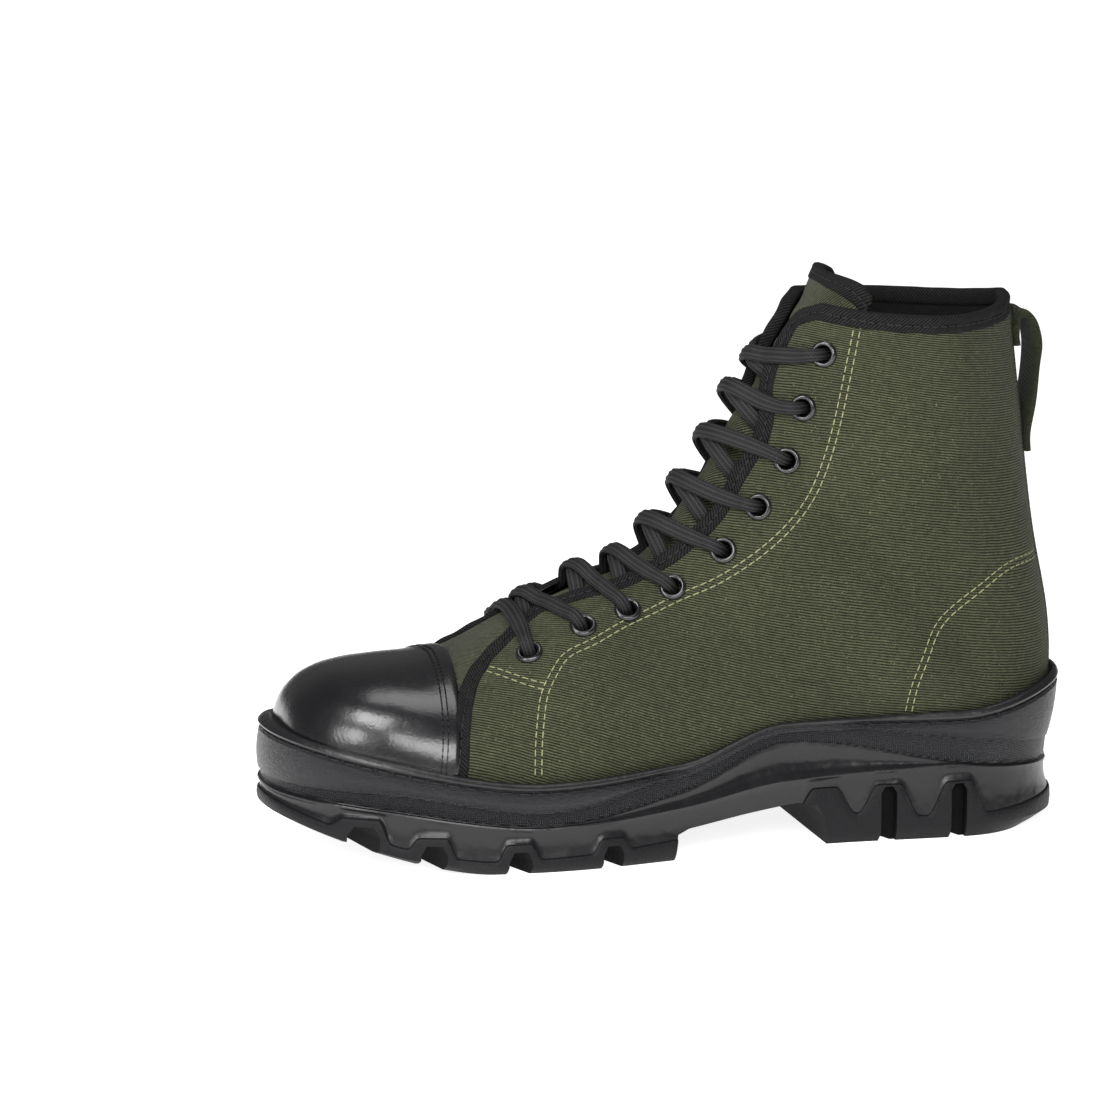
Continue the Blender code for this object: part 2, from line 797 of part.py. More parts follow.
def lip_turn(station, side, margin):
    """The lowest turn that stands a margin above the sole's lip."""
    turns = np.linspace(0, 1, ARC_STEPS + 1)
    clear = []
    for turn in turns:
        x, _, z = upper_point(station, side, turn)
        share = min(1.0, max(0.0, (x + HEEL_SEAT) / LAST_LENGTH))
        clear.append(z - HEIGHTS(share)["lip_top"] * RIM_HEIGHT - margin)
    clear = np.array(clear)
    if clear[-1] <= 0:
        return 1.0
    last = int(np.max(np.nonzero(clear <= 0)))
    part = -clear[last] / (clear[last + 1] - clear[last])
    return float(turns[last] + part * (turns[last + 1] - turns[last]))


def cap_start():
    """The first station whose middle line stands clear of the sole's lip on both sides."""
    station = CAP_START
    while max(lip_turn(station, side, CAP_GAP) for side in (OUTER, INNER)) > CAP_LOWEST:
        station += CAP_SEARCH
    return station


def cap_side(side, start, end, lift):
    rows = []
    for share in np.linspace(0, 1, CAP_ROWS):
        station = start + (end - start) * share
        low = lip_turn(station - CAP_LEAN * share, side, CAP_GAP)
        row = []
        for turn in np.linspace(low, 1, CAP_STEPS + 1):
            place_at = station - CAP_LEAN * share * (1 - turn)
            row.append(lifted_point(place_at, side, turn, lift))
        rows.append(row)
    return rows


def build_cap(collection, look):
    start, end = cap_start(), cap_station()
    grids = []
    for lift in (1.5 * CLEARANCE + CAP_THICKNESS, 1.5 * CLEARANCE):
        outer, inner = (cap_side(side, start, end, lift) for side in (OUTER, INNER))
        grids.append([a + b[::-1][1:] for a, b in zip(outer, inner)])
    return place("toe_cap", slab("toe_cap", *grids), collection, look)


TONGUE = Table(
    "half",
    ((0.36, 0.16), (0.45, 0.25), (0.60, 0.32), (0.90, 0.34), (1.60, 0.35), (2.30, 0.38)),
    level=True,
)
TONGUE_START = 0.365
TONGUE_END = 2.23
TONGUE_CORNER = 0.20
TONGUE_ROWS = 22
TONGUE_CROWDING = 1.5
TONGUE_STEPS = 8


def build_tongue(collection, look):
    grids = []
    for depth in (WALL + TONGUE_GAP, WALL + TONGUE_GAP + TONGUE_THICKNESS):
        rows = []
        for share in np.linspace(0, 1, TONGUE_ROWS) ** TONGUE_CROWDING:
            row = []
            for across in np.linspace(-1, 1, TONGUE_STEPS + 1):
                end = TONGUE_END - TONGUE_CORNER * across**2
                station = TONGUE_START + (end - TONGUE_START) * share
                half = TONGUE(station)["half"] * BALL_WIDTH
                row.append(arc_point(station, across * half, -depth))
            rows.append(row)
        grids.append(rows)
    return place("tongue", slab("tongue", *grids), collection, look)


INSOLE_STATIONS = 26
INSOLE_LIFT = 0.0002


def build_insole(collection, look):
    stations = np.linspace(1, 0, INSOLE_STATIONS + 1)
    places = [(k, OUTER) for k in stations] + [(k, INNER) for k in stations[::-1][1:-1]]
    rings = []
    for lift in (INSOLE_LIFT, INSOLE_LIFT + INSOLE_THICKNESS):
        ring = []
        for station, side in places:
            spot, normal = edge_frame(station, side)
            x, y = spot - normal * (WALL + INSOLE_MARGIN)
            ring.append((x, y, floor_height(share_at(station)) + lift))
        rings.append(ring)
    count, total = len(rings[0]), 2 * len(rings[0])
    points = rings[0] + rings[1]
    faces = []
    for i in range(count):
        j = (i + 1) % count
        faces.append((i, j, count + j, count + i))
    for base in (0, count):
        for i in range(INSOLE_STATIONS):
            ends = (i, i + 1, (count - i - 1) % count, (count - i) % count)
            quad = [q for n, q in enumerate(ends) if q not in ends[:n]]
            faces.append(tuple(base + q for q in quad))
    return place("insole", to_mesh("insole", points, faces), collection, look)


# The pull loop's path: station on the back seam, and how far it stands off as a share of the
# loop's reach.
LOOP_PATH = Table(
    "station out",
    (
        (0.00, 1.895, 0.00),
        (0.10, 1.930, 0.04),
        (0.22, 1.956, 0.38),
        (0.34, 1.947, 0.82),
        (0.45, 1.908, 1.00),
        (0.60, 1.860, 0.86),
        (0.75, 1.795, 0.56),
        (0.88, 1.740, 0.22),
        (0.95, 1.705, 0.04),
        (1.00, 1.675, 0.00),
    ),
)
LOOP_STEPS = 22


def loop_centre(share):
    row = LOOP_PATH(share)
    out = CLEARANCE + LOOP_THICKNESS / 2 + max(row["out"], 0.0) * LOOP_REACH
    x, _, z = upper_point(row["station"], OUTER, 0)
    return np.array((x - out, 0.0, z))


def build_loop(collection, look):
    rings = []
    for share in np.linspace(0, 1, LOOP_STEPS + 1):
        ahead = loop_centre(min(share + 0.01, 1)) - loop_centre(max(share - 0.01, 0))
        ahead /= np.linalg.norm(ahead)
        normal = np.array((ahead[2], 0, -ahead[0])) * LOOP_THICKNESS / 2
        across = np.array((0, LOOP_WIDTH / 2, 0))
        spot = loop_centre(share)
        corners = ((1, 1), (-1, 1), (-1, -1), (1, -1))
        rings.append([spot + across * a + normal * b for a, b in corners])
    return place("pull_loop", ring_body("pull_loop", rings), collection, look)


EYELET_STEPS = 8
EYELET_LIFT = 0.0008


def build_eyelets(collection, look):
    outer_bore = EYELET_BORE + EYELET_BARREL
    middle = (outer_bore + EYELET_RADIUS) / 2
    profile = (
        (EYELET_BORE, -0.85 * WALL),
        (outer_bore, -0.85 * WALL),
        (outer_bore, EYELET_LIFT),
        (EYELET_RADIUS, EYELET_LIFT),
        (middle, EYELET_LIFT + EYELET_FLANGE),
        (EYELET_BORE, EYELET_LIFT + 0.6 * EYELET_FLANGE),
    )
    rings = []
    for step in range(EYELET_STEPS):
        angle = 2 * math.pi * step / EYELET_STEPS
        rings.append([(r * math.cos(angle), r * math.sin(angle), z) for r, z in profile])
    mesh = ring_body("eyelet", rings, True)
    for station, arc, name in eyelet_places():
        place(name, mesh, collection, look, surface_frame(station, arc))


LACE_SIDES = 6
LACE_STEPS = 9
LACE_REST = CLEARANCE + LACE_THICKNESS / 2
CROSS_LIFT = 0.0032
OVER_LIFT = 0.0012
RIDGE_DROP = 0.16
EDGE_DROP = 0.60
EYELET_ROOM = 0.0018
FACING_ROOM = 0.0046
EDGE_ROOM = 0.0010
EDGE_LIFT = 0.0003
SHORTEST_TUCK = 0.0012
OPEN_GAP = 0.009
OPEN_RANGE = 0.004


def strand_rings(path):
    """Rings of an oval cord along a table of station, arc and lift."""
    rings = []
    for share in np.linspace(0, 1, LACE_STEPS):
        row = path(share)
        frame = surface_frame(row["station"], row["arc"], row["lift"])
        ahead, behind = path(min(share + 0.02, 1)), path(max(share - 0.02, 0))
        front = arc_point(ahead["station"], ahead["arc"], ahead["lift"])
        rear = arc_point(behind["station"], behind["arc"], behind["lift"])
        along = Vector(front - rear).normalized()
        normal = Vector(frame.col[2][:3])
        across = along.cross(normal).normalized() * LACE_WIDTH / 2
        normal = across.cross(along).normalized() * LACE_THICKNESS / 2
        ring = []
        for step in range(LACE_SIDES):
            angle = 2 * math.pi * step / LACE_SIDES
            ring.append(frame.translation + across * math.cos(angle) + normal * math.sin(angle))
        rings.append(ring)
    return rings


def cross_path(upper, lower, side, top):
    """From beside an eyelet over the throat, down to the other facing's edge."""
    (station_a, reach_a), (station_b, _) = upper, lower
    drop = station_b - station_a
    end = station_a + EDGE_DROP * drop
    gap_a, gap_b = throat_gap(station_a), throat_gap(end)
    first = reach_a * BALL_WIDTH - EYELET_RADIUS - EYELET_ROOM
    edge = gap_a + EDGE_ROOM
    last = max(SHORTEST_TUCK, gap_b - FACING_ROOM)
    open_share = min(1.0, max(0.0, (gap_b - OPEN_GAP) / OPEN_RANGE))
    under = LACE_REST + CLEARANCE - (WALL + TONGUE_GAP)
    low = top + (under - top) * open_share
    span = first + last
    ridge = station_a + RIDGE_DROP * drop
    beside = station_a + (ridge - station_a) * (first - edge) / first
    rows = (
        (0.0, station_a, side * first, LACE_REST),
        ((first - edge) / span, beside, side * edge, LACE_REST + EDGE_LIFT),
        (first / span, ridge, 0.0, top),
        (1.0, end, -side * last, low),
    )
    return Table("station arc lift", rows, level=True)


def build_lace(collection, cutters, look):
    first, reach = EYELETS[0]
    half = reach * BALL_WIDTH - EYELET_RADIUS - EYELET_ROOM
    rows = ((0, first, half, LACE_REST), (1, first, -half, LACE_REST))
    bar = ring_body("lace_bar", strand_rings(Table("station arc lift", rows)))
    place("lace_bar", bar, collection, look)
    for i, (lower, upper) in enumerate(zip(EYELETS, EYELETS[1:])):
        bodies = []
        for side, top in ((OUTER, CROSS_LIFT + OVER_LIFT), (INNER, CROSS_LIFT)):
            rings = strand_rings(cross_path(upper, lower, side, top))
            bodies.append(ring_body(f"lace_cross_{i + 1}", rings))
        body = place(f"lace_cross_{i + 1}", bodies[0], collection, look)
        other = place(f"lace_half_{i + 1}", bodies[1], cutters)
        other.hide_render = True
        other.display_type = "WIRE"
        join = body.modifiers.new("join", "BOOLEAN")
        join.operation = "UNION"
        join.solver = "EXACT"
        join.object = other


def main():
    for old in list(bpy.data.objects):
        bpy.data.objects.remove(old, do_unlink=True)
    boot = bpy.data.collections.new("jungle_boot")
    cutters = bpy.data.collections.new("cutters")
    bpy.context.scene.collection.children.link(boot)
    bpy.context.scene.collection.children.link(cutters)
    cutters.hide_render = True
    rubber = material("black_rubber", (0.02, 0.02, 0.022), 0.45)
    canvas = material("green_canvas", (0.055, 0.062, 0.035), 0.9)
    leather = material("black_leather", (0.012, 0.012, 0.013), 0.18)
    board = material("black_board", (0.03, 0.03, 0.03), 0.9)
    metal = material("black_metal", (0.03, 0.03, 0.035), 0.3, 0.8)
    cord = material("black_cord", (0.012, 0.012, 0.013), 0.8)
    build_sole(boot, cutters, rubber)
    build_upper(boot, cutters, canvas)
    build_cap(boot, leather)
    build_tongue(boot, canvas)
    build_insole(boot, board)
    build_loop(boot, canvas)
    build_eyelets(boot, metal)
    build_lace(boot, cutters, cord)


main()
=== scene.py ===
"""Looks of the laced canvas jungle boot: cloth, leather, rubber, thread and lace."""

import math
from functools import lru_cache

import bmesh
import bpy
import numpy as np
from mathutils import Matrix, Vector
from mathutils.bvhtree import BVHTree
from mathutils.kdtree import KDTree


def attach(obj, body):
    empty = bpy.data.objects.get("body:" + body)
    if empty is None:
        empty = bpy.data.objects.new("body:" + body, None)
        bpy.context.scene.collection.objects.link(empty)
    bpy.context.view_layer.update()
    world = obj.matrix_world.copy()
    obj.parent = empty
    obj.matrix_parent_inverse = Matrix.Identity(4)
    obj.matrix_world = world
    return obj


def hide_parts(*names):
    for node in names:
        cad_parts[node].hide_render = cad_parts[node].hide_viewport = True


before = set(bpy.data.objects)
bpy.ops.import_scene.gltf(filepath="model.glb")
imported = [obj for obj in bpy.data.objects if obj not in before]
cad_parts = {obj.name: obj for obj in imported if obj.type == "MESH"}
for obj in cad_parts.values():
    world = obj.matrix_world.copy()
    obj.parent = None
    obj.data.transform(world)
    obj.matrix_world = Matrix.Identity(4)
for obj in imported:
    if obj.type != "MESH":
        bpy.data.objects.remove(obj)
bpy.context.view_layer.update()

# Driving sizes
LAST_LENGTH = 0.290
HEEL_SEAT = 0.038
BALL_WIDTH = 0.100
HEEL_LIFT = 0.030
TOE_RISE = 0.045
SHAFT_HEIGHT = 0.204
WALL = 0.0022
CLEARANCE = 0.0005

# Sole
RIM_HEIGHT = 0.048
SOLE_EDGE = 0.006
SOLE_SKIN = 0.0018
TOE_SPRING = 0.018
HEEL_FRONT = 0.0535
ARCH_LENGTH = 0.062
ARCH_HEIGHT = 0.0155
NOTCH_WIDTH = 0.0085
NOTCH_DEPTH = 0.0085
HEEL_GROOVE_WIDTH = 0.0055
HEEL_GROOVE_HEIGHT = 0.021
HEEL_GROOVE_DEPTH = 0.0045
GROOVE_SLANT = math.radians(18)

# Cap and tongue
CAP_THICKNESS = 0.0014
CAP_LENGTH = 0.060
TONGUE_THICKNESS = 0.0026

# Pull loop
LOOP_WIDTH = 0.015
LOOP_THICKNESS = 0.0026
LOOP_REACH = 0.0080

OUTER, INNER = 1, -1


class Table:
    """Named columns against a position, with a smooth curve through each column."""

    def __init__(self, columns, rows, level=False):
        data = np.array(rows, float)
        order = np.argsort(data[:, 0])
        self.names = columns.split()
        self.at = data[order, 0]
        self.values = data[order, 1:]
        self.slopes = self.level_slopes() if level else self.round_slopes()

    def round_slopes(self):
        """Slopes of the natural cubic spline, whose curvature has no jumps."""
        gap = np.diff(self.at)[:, None]
        rise = np.diff(self.values, axis=0) / gap
        count = len(self.at)
        matrix = np.zeros((count, count))
        right = np.zeros_like(self.values)
        matrix[0, :2] = 2, 1
        matrix[-1, -2:] = 1, 2
        right[0], right[-1] = 3 * rise[0], 3 * rise[-1]
        for i in range(1, count - 1):
            before, after = gap[i - 1, 0], gap[i, 0]
            matrix[i, i - 1 : i + 2] = after, 2 * (before + after), before
            right[i] = 3 * (after * rise[i - 1] + before * rise[i])
        return np.linalg.solve(matrix, right)

    def level_slopes(self):
        """Slopes that never pass the rows' own highs and lows."""
        rise = np.diff(self.values, axis=0) / np.diff(self.at)[:, None]
        slopes = np.zeros_like(self.values)
        slopes[0], slopes[-1] = rise[0], rise[-1]
        for i in range(1, len(self.at) - 1):
            same = rise[i - 1] * rise[i] > 0
            total = np.where(same, rise[i - 1] + rise[i], 1)
            slopes[i] = np.where(same, 2 * rise[i - 1] * rise[i] / total, 0)
        return slopes

    def __call__(self, at):
        i = int(np.clip(np.searchsorted(self.at, at) - 1, 0, len(self.at) - 2))
        gap = self.at[i + 1] - self.at[i]
        t = (at - self.at[i]) / gap
        if t < 0:
            row = self.values[i] + self.slopes[i] * (at - self.at[i])
        elif t > 1:
            row = self.values[i + 1] + self.slopes[i + 1] * (at - self.at[i + 1])
        else:
            low, high = (1 + 2 * t) * (1 - t) ** 2, t * t * (3 - 2 * t)
            leave, arrive = t * (1 - t) ** 2, t * t * (t - 1)
            row = low * self.values[i] + high * self.values[i + 1]
            row = row + gap * (leave * self.slopes[i] + arrive * self.slopes[i + 1])
        return dict(zip(self.names, row))


# Lower edge of the last seen from above. The share runs from the heel's back to the toe tip;
# half is the half width before the ends are rounded and centre its sideways shift, both as
# shares of the ball width.
OUTLINE = Table(
    "half centre",
    (
        (0.00, 0.310, 0.000),
        (0.12, 0.325, 0.000),
        (0.30, 0.325, 0.010),
        (0.42, 0.335, 0.040),
        (0.55, 0.390, 0.048),
        (0.65, 0.455, 0.030),
        (0.73, 0.482, 0.008),
        (0.82, 0.475, -0.015),
        (0.90, 0.450, -0.035),
        (1.00, 0.425, -0.055),
    ),
)
HEEL_ROUND, HEEL_ROUND_CURVE = 0.115, 2.1
HEEL_ROUND_GROWTH = 0.20
TOE_ROUND, TOE_ROUND_CURVE = 0.200, 2.25

# Height of the last's underside, as a share of the heel lift.
FLOOR = Table(
    "height",
    (
        (0.00, 1.00),
        (0.20, 1.00),
        (0.35, 0.94),
        (0.50, 0.78),
        (0.62, 0.68),
        (0.72, 0.66),
        (0.82, 0.71),
        (0.92, 0.84),
        (1.00, 0.95),
    ),
)

# The sections. top_x is the share of the last's length at the instep's middle line; its
# height is the heel lift plus shares of the toe rise and of the shaft above it. swell is how
# far the widest point stands out, and ridge the middle line's sideways place, in ball widths;
# widest is how far up the section the widest point is, and arch the upper curve's exponent.
# seat is 1 where points crowd towards the lower end, as they do round the heel.
SECTIONS = Table(
    "top_x toe_rise shaft_rise swell ridge widest arch seat",
    (
        (0.00, 1.0000, -0.033, 0.000, 0.000, -0.055, 0.42, 2.20, 0.0),
        (0.05, 0.9940, 0.450, 0.000, 0.110, -0.054, 0.42, 2.30, 0.0),
        (0.10, 0.9753, 0.672, 0.000, 0.140, -0.052, 0.38, 2.40, 0.0),
        (0.15, 0.9451, 0.785, 0.000, 0.150, -0.050, 0.34, 2.45, 0.0),
        (0.20, 0.9038, 0.836, 0.000, 0.150, -0.047, 0.32, 2.50, 0.0),
        (0.25, 0.8530, 0.868, 0.000, 0.150, -0.044, 0.30, 2.30, 0.0),
        (0.30, 0.7926, 0.915, 0.004, 0.160, -0.040, 0.28, 2.10, 0.0),
        (0.35, 0.7251, 0.958, 0.064, 0.160, -0.036, 0.26, 1.95, 0.0),
        (0.40, 0.6536, 1.000, 0.138, 0.165, -0.030, 0.25, 1.86, 0.0),
        (0.50, 0.5534, 1.000, 0.233, 0.170, -0.020, 0.24, 1.80, 0.0),
        (0.60, 0.4966, 1.000, 0.360, 0.190, -0.014, 0.27, 1.75, 0.0),
        (0.70, 0.4653, 1.000, 0.461, 0.190, -0.010, 0.32, 1.80, 0.0),
        (0.80, 0.4412, 1.000, 0.558, 0.245, -0.006, 0.38, 1.85, 0.0),
        (0.90, 0.4220, 1.000, 0.632, 0.199, -0.003, 0.42, 1.90, 1.0),
        (1.00, 0.4086, 1.000, 0.682, 0.169, 0.000, 0.45, 1.95, 1.0),
        (1.25, 0.3928, 1.000, 0.734, 0.172, 0.000, 0.47, 2.00, 1.0),
        (1.50, 0.3707, 1.000, 0.818, 0.188, 0.000, 0.49, 2.05, 1.0),
        (1.75, 0.3482, 1.000, 0.895, 0.203, 0.000, 0.50, 2.10, 1.0),
        (2.00, 0.3242, 1.000, 0.981, 0.211, 0.000, 0.50, 2.10, 1.0),
    ),
)

# The back seam above station 1: its place as a share of the last's length from the heel's
# back, and how far it has climbed from the heel lift to the shaft's height.
BACK_SEAM = Table(
    "back_x climb",
    (
        (1.00, 0.000, 0.000),
        (1.15, -0.0088, 0.144),
        (1.30, -0.0048, 0.287),
        (1.45, 0.0105, 0.420),
        (1.70, 0.0297, 0.658),
        (2.00, 0.0510, 0.978),
    ),
)

# Half of the throat's gap over the tongue, measured on the upper, in ball widths.
THROAT_START = 0.385
THROAT = Table(
    "gap",
    (
        (0.385, 0.00),
        (0.400, 0.055),
        (0.450, 0.095),
        (0.500, 0.130),
        (0.600, 0.175),
        (0.700, 0.195),
        (0.850, 0.195),
        (1.000, 0.180),
        (1.250, 0.120),
        (1.500, 0.090),
        (1.800, 0.085),
        (1.900, 0.110),
        (2.000, 0.200),
    ),
    level=True,
)

# Eyelets of one side from the toe end up: station, and distance from the instep's middle
# line measured on the upper, in ball widths.
EYELETS = (
    (0.368, 0.318),
    (0.420, 0.302),
    (0.475, 0.285),
    (0.545, 0.288),
    (0.650, 0.325),
    (0.775, 0.350),
    (0.960, 0.345),
    (1.350, 0.305),
    (1.700, 0.296),
)

# Lines that run round the sole, at seven places: tip, toe, ball, arch, waist, heel and back.
# Heights are shares of the rim's height; offsets stand out from the last's edge, as shares of
# the sole's edge.
PLACES = (1.000, 0.897, 0.702, 0.520, 0.377, 0.137, 0.000)
SOLE_HEIGHTS = {
    "lip_top": (1.025, 0.885, 0.69, 0.757, 1.00, 1.01, 1.21),
    "lip_low": (0.965, 0.82, 0.635, 0.72, 0.985, 0.94, 1.14),
    "band_top": (0.635, 0.63, 0.465, 0.705, 0.965, 0.79, 0.667),
    "band_low": (0.57, 0.515, 0.365, 0.54, 0.84, 0.60, 0.51),
    "ridge": (0.555, 0.50, 0.35, 0.425, 0.55, 0.585, 0.49),
    "skirt": (0.49, 0.39, 0.22, 0.30, 0.42, 0.38, 0.35),
    "tread_edge": (0.43, 0.285, 0.092, 0.10, 0.15, 0.185, 0.20),
}
SOLE_OFFSETS = {
    "lip_low": (1.15, 1.30, 1.22, 1.06, 0.92, 1.02, 1.15),
    "band_top": (1.25, 1.43, 1.33, 1.10, 0.95, 0.95, 0.55),
    "band_low": (1.15, 1.33, 1.20, 1.05, 0.88, 0.85, 0.40),
    "ridge": (1.20, 1.37, 1.23, 1.08, 0.86, 0.80, 0.38),
    "skirt": (1.15, 1.33, 1.17, 1.00, 0.60, 0.80, 0.40),
    "tread_edge": (1.15, 1.47, 1.33, 1.08, 0.50, 0.93, 0.60),
    "tread": (0.50, 1.00, 1.13, 0.90, 0.30, 0.67, -0.90),
}


def line_table(rows):
    """A table along the last of every line round the sole."""
    columns = list(zip(PLACES, *rows.values()))
    return Table(" ".join(rows), columns, level=True)


HEIGHTS = line_table(SOLE_HEIGHTS)
OFFSETS = line_table(SOLE_OFFSETS)


def share_at(station):
    """Share of the last's length at a station, crowded towards both ends."""
    return (1 + math.cos(math.pi * station)) / 2


def length_x(share):
    return share * LAST_LENGTH - HEEL_SEAT


def floor_height(share):
    return FLOOR(share)["height"] * HEEL_LIFT


def rounding(inside, exponent):
    """1 inside, falling to 0 at the end of a rounded stretch."""
    return max(0.0, 1 - max(0.0, inside) ** exponent) ** (1 / exponent)


def open_half(share):
    """Half width and centre of the last's lower edge before the heel is rounded."""
    row = OUTLINE(share)
    toe = rounding((share - 1 + TOE_ROUND) / TOE_ROUND, TOE_ROUND_CURVE)
    return row["half"] * toe * BALL_WIDTH, row["centre"] * BALL_WIDTH


def outline_half(share):
    """Half width and centre of the last's lower edge."""
    half, centre = open_half(share)
    return half * rounding((HEEL_ROUND - share) / HEEL_ROUND, HEEL_ROUND_CURVE), centre


SEAM_STEPS = np.linspace(1, 2.4, 141)
SEAM_X = np.array([length_x(BACK_SEAM(k)["back_x"]) for k in SEAM_STEPS])
SEAM_CLIMB = np.array([BACK_SEAM(k)["climb"] for k in SEAM_STEPS])


def heel_closing(x, z):
    """1 in front of the heel's round back, falling to 0 at the back seam."""
    climb = (z - HEEL_LIFT) / (SHAFT_HEIGHT - HEEL_LIFT)
    back = np.interp(climb, SEAM_CLIMB, SEAM_X)
    radius = HEEL_ROUND * LAST_LENGTH * (1 + HEEL_ROUND_GROWTH * min(1.0, max(0.0, climb)))
    return rounding((back + radius - x) / radius, HEEL_ROUND_CURVE)


@lru_cache(maxsize=4096)
def section(station):
    """The section's lower and upper ends, widths and curves."""
    row = SECTIONS(station)
    shaft = SHAFT_HEIGHT - HEEL_LIFT - TOE_RISE
    top_z = HEEL_LIFT + row["toe_rise"] * TOE_RISE + row["shaft_rise"] * shaft
    if station <= 1:
        share = share_at(station)
        half, centre = open_half(share)
        foot = (length_x(share), floor_height(share))
    else:
        back = BACK_SEAM(station)
        half, centre = open_half(0.0)
        climb = back["climb"] * (SHAFT_HEIGHT - HEEL_LIFT)
        foot = (length_x(back["back_x"]), HEEL_LIFT + climb)
    return {
        "foot": foot,
        "top": (length_x(row["top_x"]), top_z),
        "foot_half": half,
        "half": math.hypot(half, max(row["swell"], 0.0) * BALL_WIDTH),
        "centre": centre,
        "ridge": row["ridge"] * BALL_WIDTH,
        "widest": row["widest"],
        "arch": row["arch"],
        "seat": min(1.0, max(0.0, row["seat"])),
    }


def upper_point(station, side, turn):
    """Point on the outside of the upper."""
    s = section(station)
    height = math.dist(s["foot"], s["top"])
    low = math.hypot(s["widest"] * height, s["half"] - s["foot_half"])
    high = math.hypot((1 - s["widest"]) * height, s["half"])
    split = low / (low + high)
    if turn <= split:
        part = turn / split
        crowded = 1 - math.cos(math.pi / 2 * part)
        part += (crowded - part) * s["seat"]
        rise = s["widest"] * part
        out = s["foot_half"] + (s["half"] - s["foot_half"]) * part * part * (3 - 2 * part)
    else:
        angle = math.pi / 2 * min(1.0, (turn - split) / (1 - split))
        power = 2 / s["arch"]
        rise = s["widest"] + (1 - s["widest"]) * math.sin(angle) ** power
        out = s["half"] * max(0.0, math.cos(angle)) ** power
    x = s["foot"][0] + (s["top"][0] - s["foot"][0]) * rise
    z = s["foot"][1] + (s["top"][1] - s["foot"][1]) * rise
    out *= heel_closing(x, z)
    y = s["centre"] + (s["ridge"] - s["centre"]) * rise + side * out
    return np.array((x, y, z))


def throat_gap(station):
    return THROAT(station)["gap"] * BALL_WIDTH if station > THROAT_START else 0.0


COLLAR_SAG = 0.035
COLLAR_START = 1.6


def collar_station(station, turn):
    """Lower the collar's line a little at the boot's sides."""
    share = max(0.0, (station - COLLAR_START) / (2 - COLLAR_START))
    return station - COLLAR_SAG * share * math.sin(math.pi * turn)


def edge_xy(station, side):
    share = share_at(station)
    half, centre = outline_half(share)
    return np.array((length_x(share), centre + side * half))


def edge_frame(station, side):
    """Point and outward direction on the last's lower edge, seen from above."""
    step = 0.001
    tangent = edge_xy(min(station + step, 1), side) - edge_xy(max(station - step, 0), side)
    normal = np.array((tangent[1], -tangent[0])) * side
    return edge_xy(station, side), normal / np.linalg.norm(normal)


PROBE = 0.06


def cup_reach(tree, spot, normal, height, gap):
    """How far the upper stands out from the last's edge at a height, with a gap."""
    start = spot + normal * PROBE
    ray = Vector((*-normal, 0))
    hit = tree.ray_cast(Vector((*start, height)), ray, 2 * PROBE)[0]
    if hit is None:
        return gap
    return float(np.dot(np.array(hit)[:2] - spot, normal)) + gap


SPRING_START = 0.77


def spring_height(x):
    """Height of the tread over the floor, which rises towards the toe."""
    start, tip = length_x(SPRING_START), length_x(1) + SOLE_EDGE
    return TOE_SPRING * max(0.0, (x - start) / (tip - start)) ** 1.5


CUP_GAP = 0.0007
LIP_CROWN = 0.0007


def prism(profile, start, end):
    """Two rings, copies of a profile of (x, height) at two (x, y) places."""
    rings = []
    for place_x, place_y in (start, end):
        rings.append([(place_x + u, place_y, height) for u, height in profile])
    return rings


NOTCH_PLACES = (0.142, 0.177, 0.208, 0.232)
HEEL_GROOVES = (0.003, 0.030)
CENTRE_RIB = 0.009
OUTSIDE = 0.075
BELOW = -0.01


def groove_path(x, side, rib):
    """From outside the sole's edge inwards, slanting towards the toe."""
    half, _ = outline_half((x + HEEL_SEAT) / LAST_LENGTH)
    edge = half + SOLE_EDGE
    lean = math.tan(GROOVE_SLANT)
    start = (x - lean * (OUTSIDE - edge), side * OUTSIDE)
    return start, (x + lean * (edge - rib), side * rib)


def tread_cutters():
    """Arch, forefoot notches and heel grooves, as rings of prisms."""
    front = HEEL_FRONT + ARCH_LENGTH
    top = ARCH_HEIGHT
    arch = (
        (HEEL_FRONT, BELOW),
        (HEEL_FRONT, -0.0005),
        (HEEL_FRONT + 0.0015, 0.70 * top),
        (HEEL_FRONT + 0.0045, 1.00 * top),
        (HEEL_FRONT + 0.0120, 1.08 * top),
        (HEEL_FRONT + 0.0345, 0.92 * top),
        (front - 0.0060, 0.74 * top),
        (front - 0.0015, 0.62 * top),
        (front, -0.0005),
        (front, BELOW),
    )
    bodies = [prism(arch, (0, OUTSIDE), (0, -OUTSIDE))]
    rounded = ((-0.5, 0.60), (-0.3, 1.0), (0.3, 1.0), (0.5, 0.60))
    for side in (OUTER, INNER):
        for x in NOTCH_PLACES:
            base = spring_height(x)
            profile = [(-0.5 * NOTCH_WIDTH, base + BELOW)]
            profile += [(u * NOTCH_WIDTH, base + v * NOTCH_DEPTH) for u, v in rounded]
            profile.append((0.5 * NOTCH_WIDTH, base + BELOW))
            bodies.append(prism(profile, *groove_path(x, side, CENTRE_RIB)))
        for x in HEEL_GROOVES:
            profile = [(-0.5 * HEEL_GROOVE_WIDTH, BELOW)]
            profile += [(u * HEEL_GROOVE_WIDTH, v * NOTCH_DEPTH * 0.7) for u, v in rounded]
            profile.append((0.5 * HEEL_GROOVE_WIDTH, BELOW))
            bodies.append(prism(profile, *groove_path(x, side, CENTRE_RIB)))
    return bodies


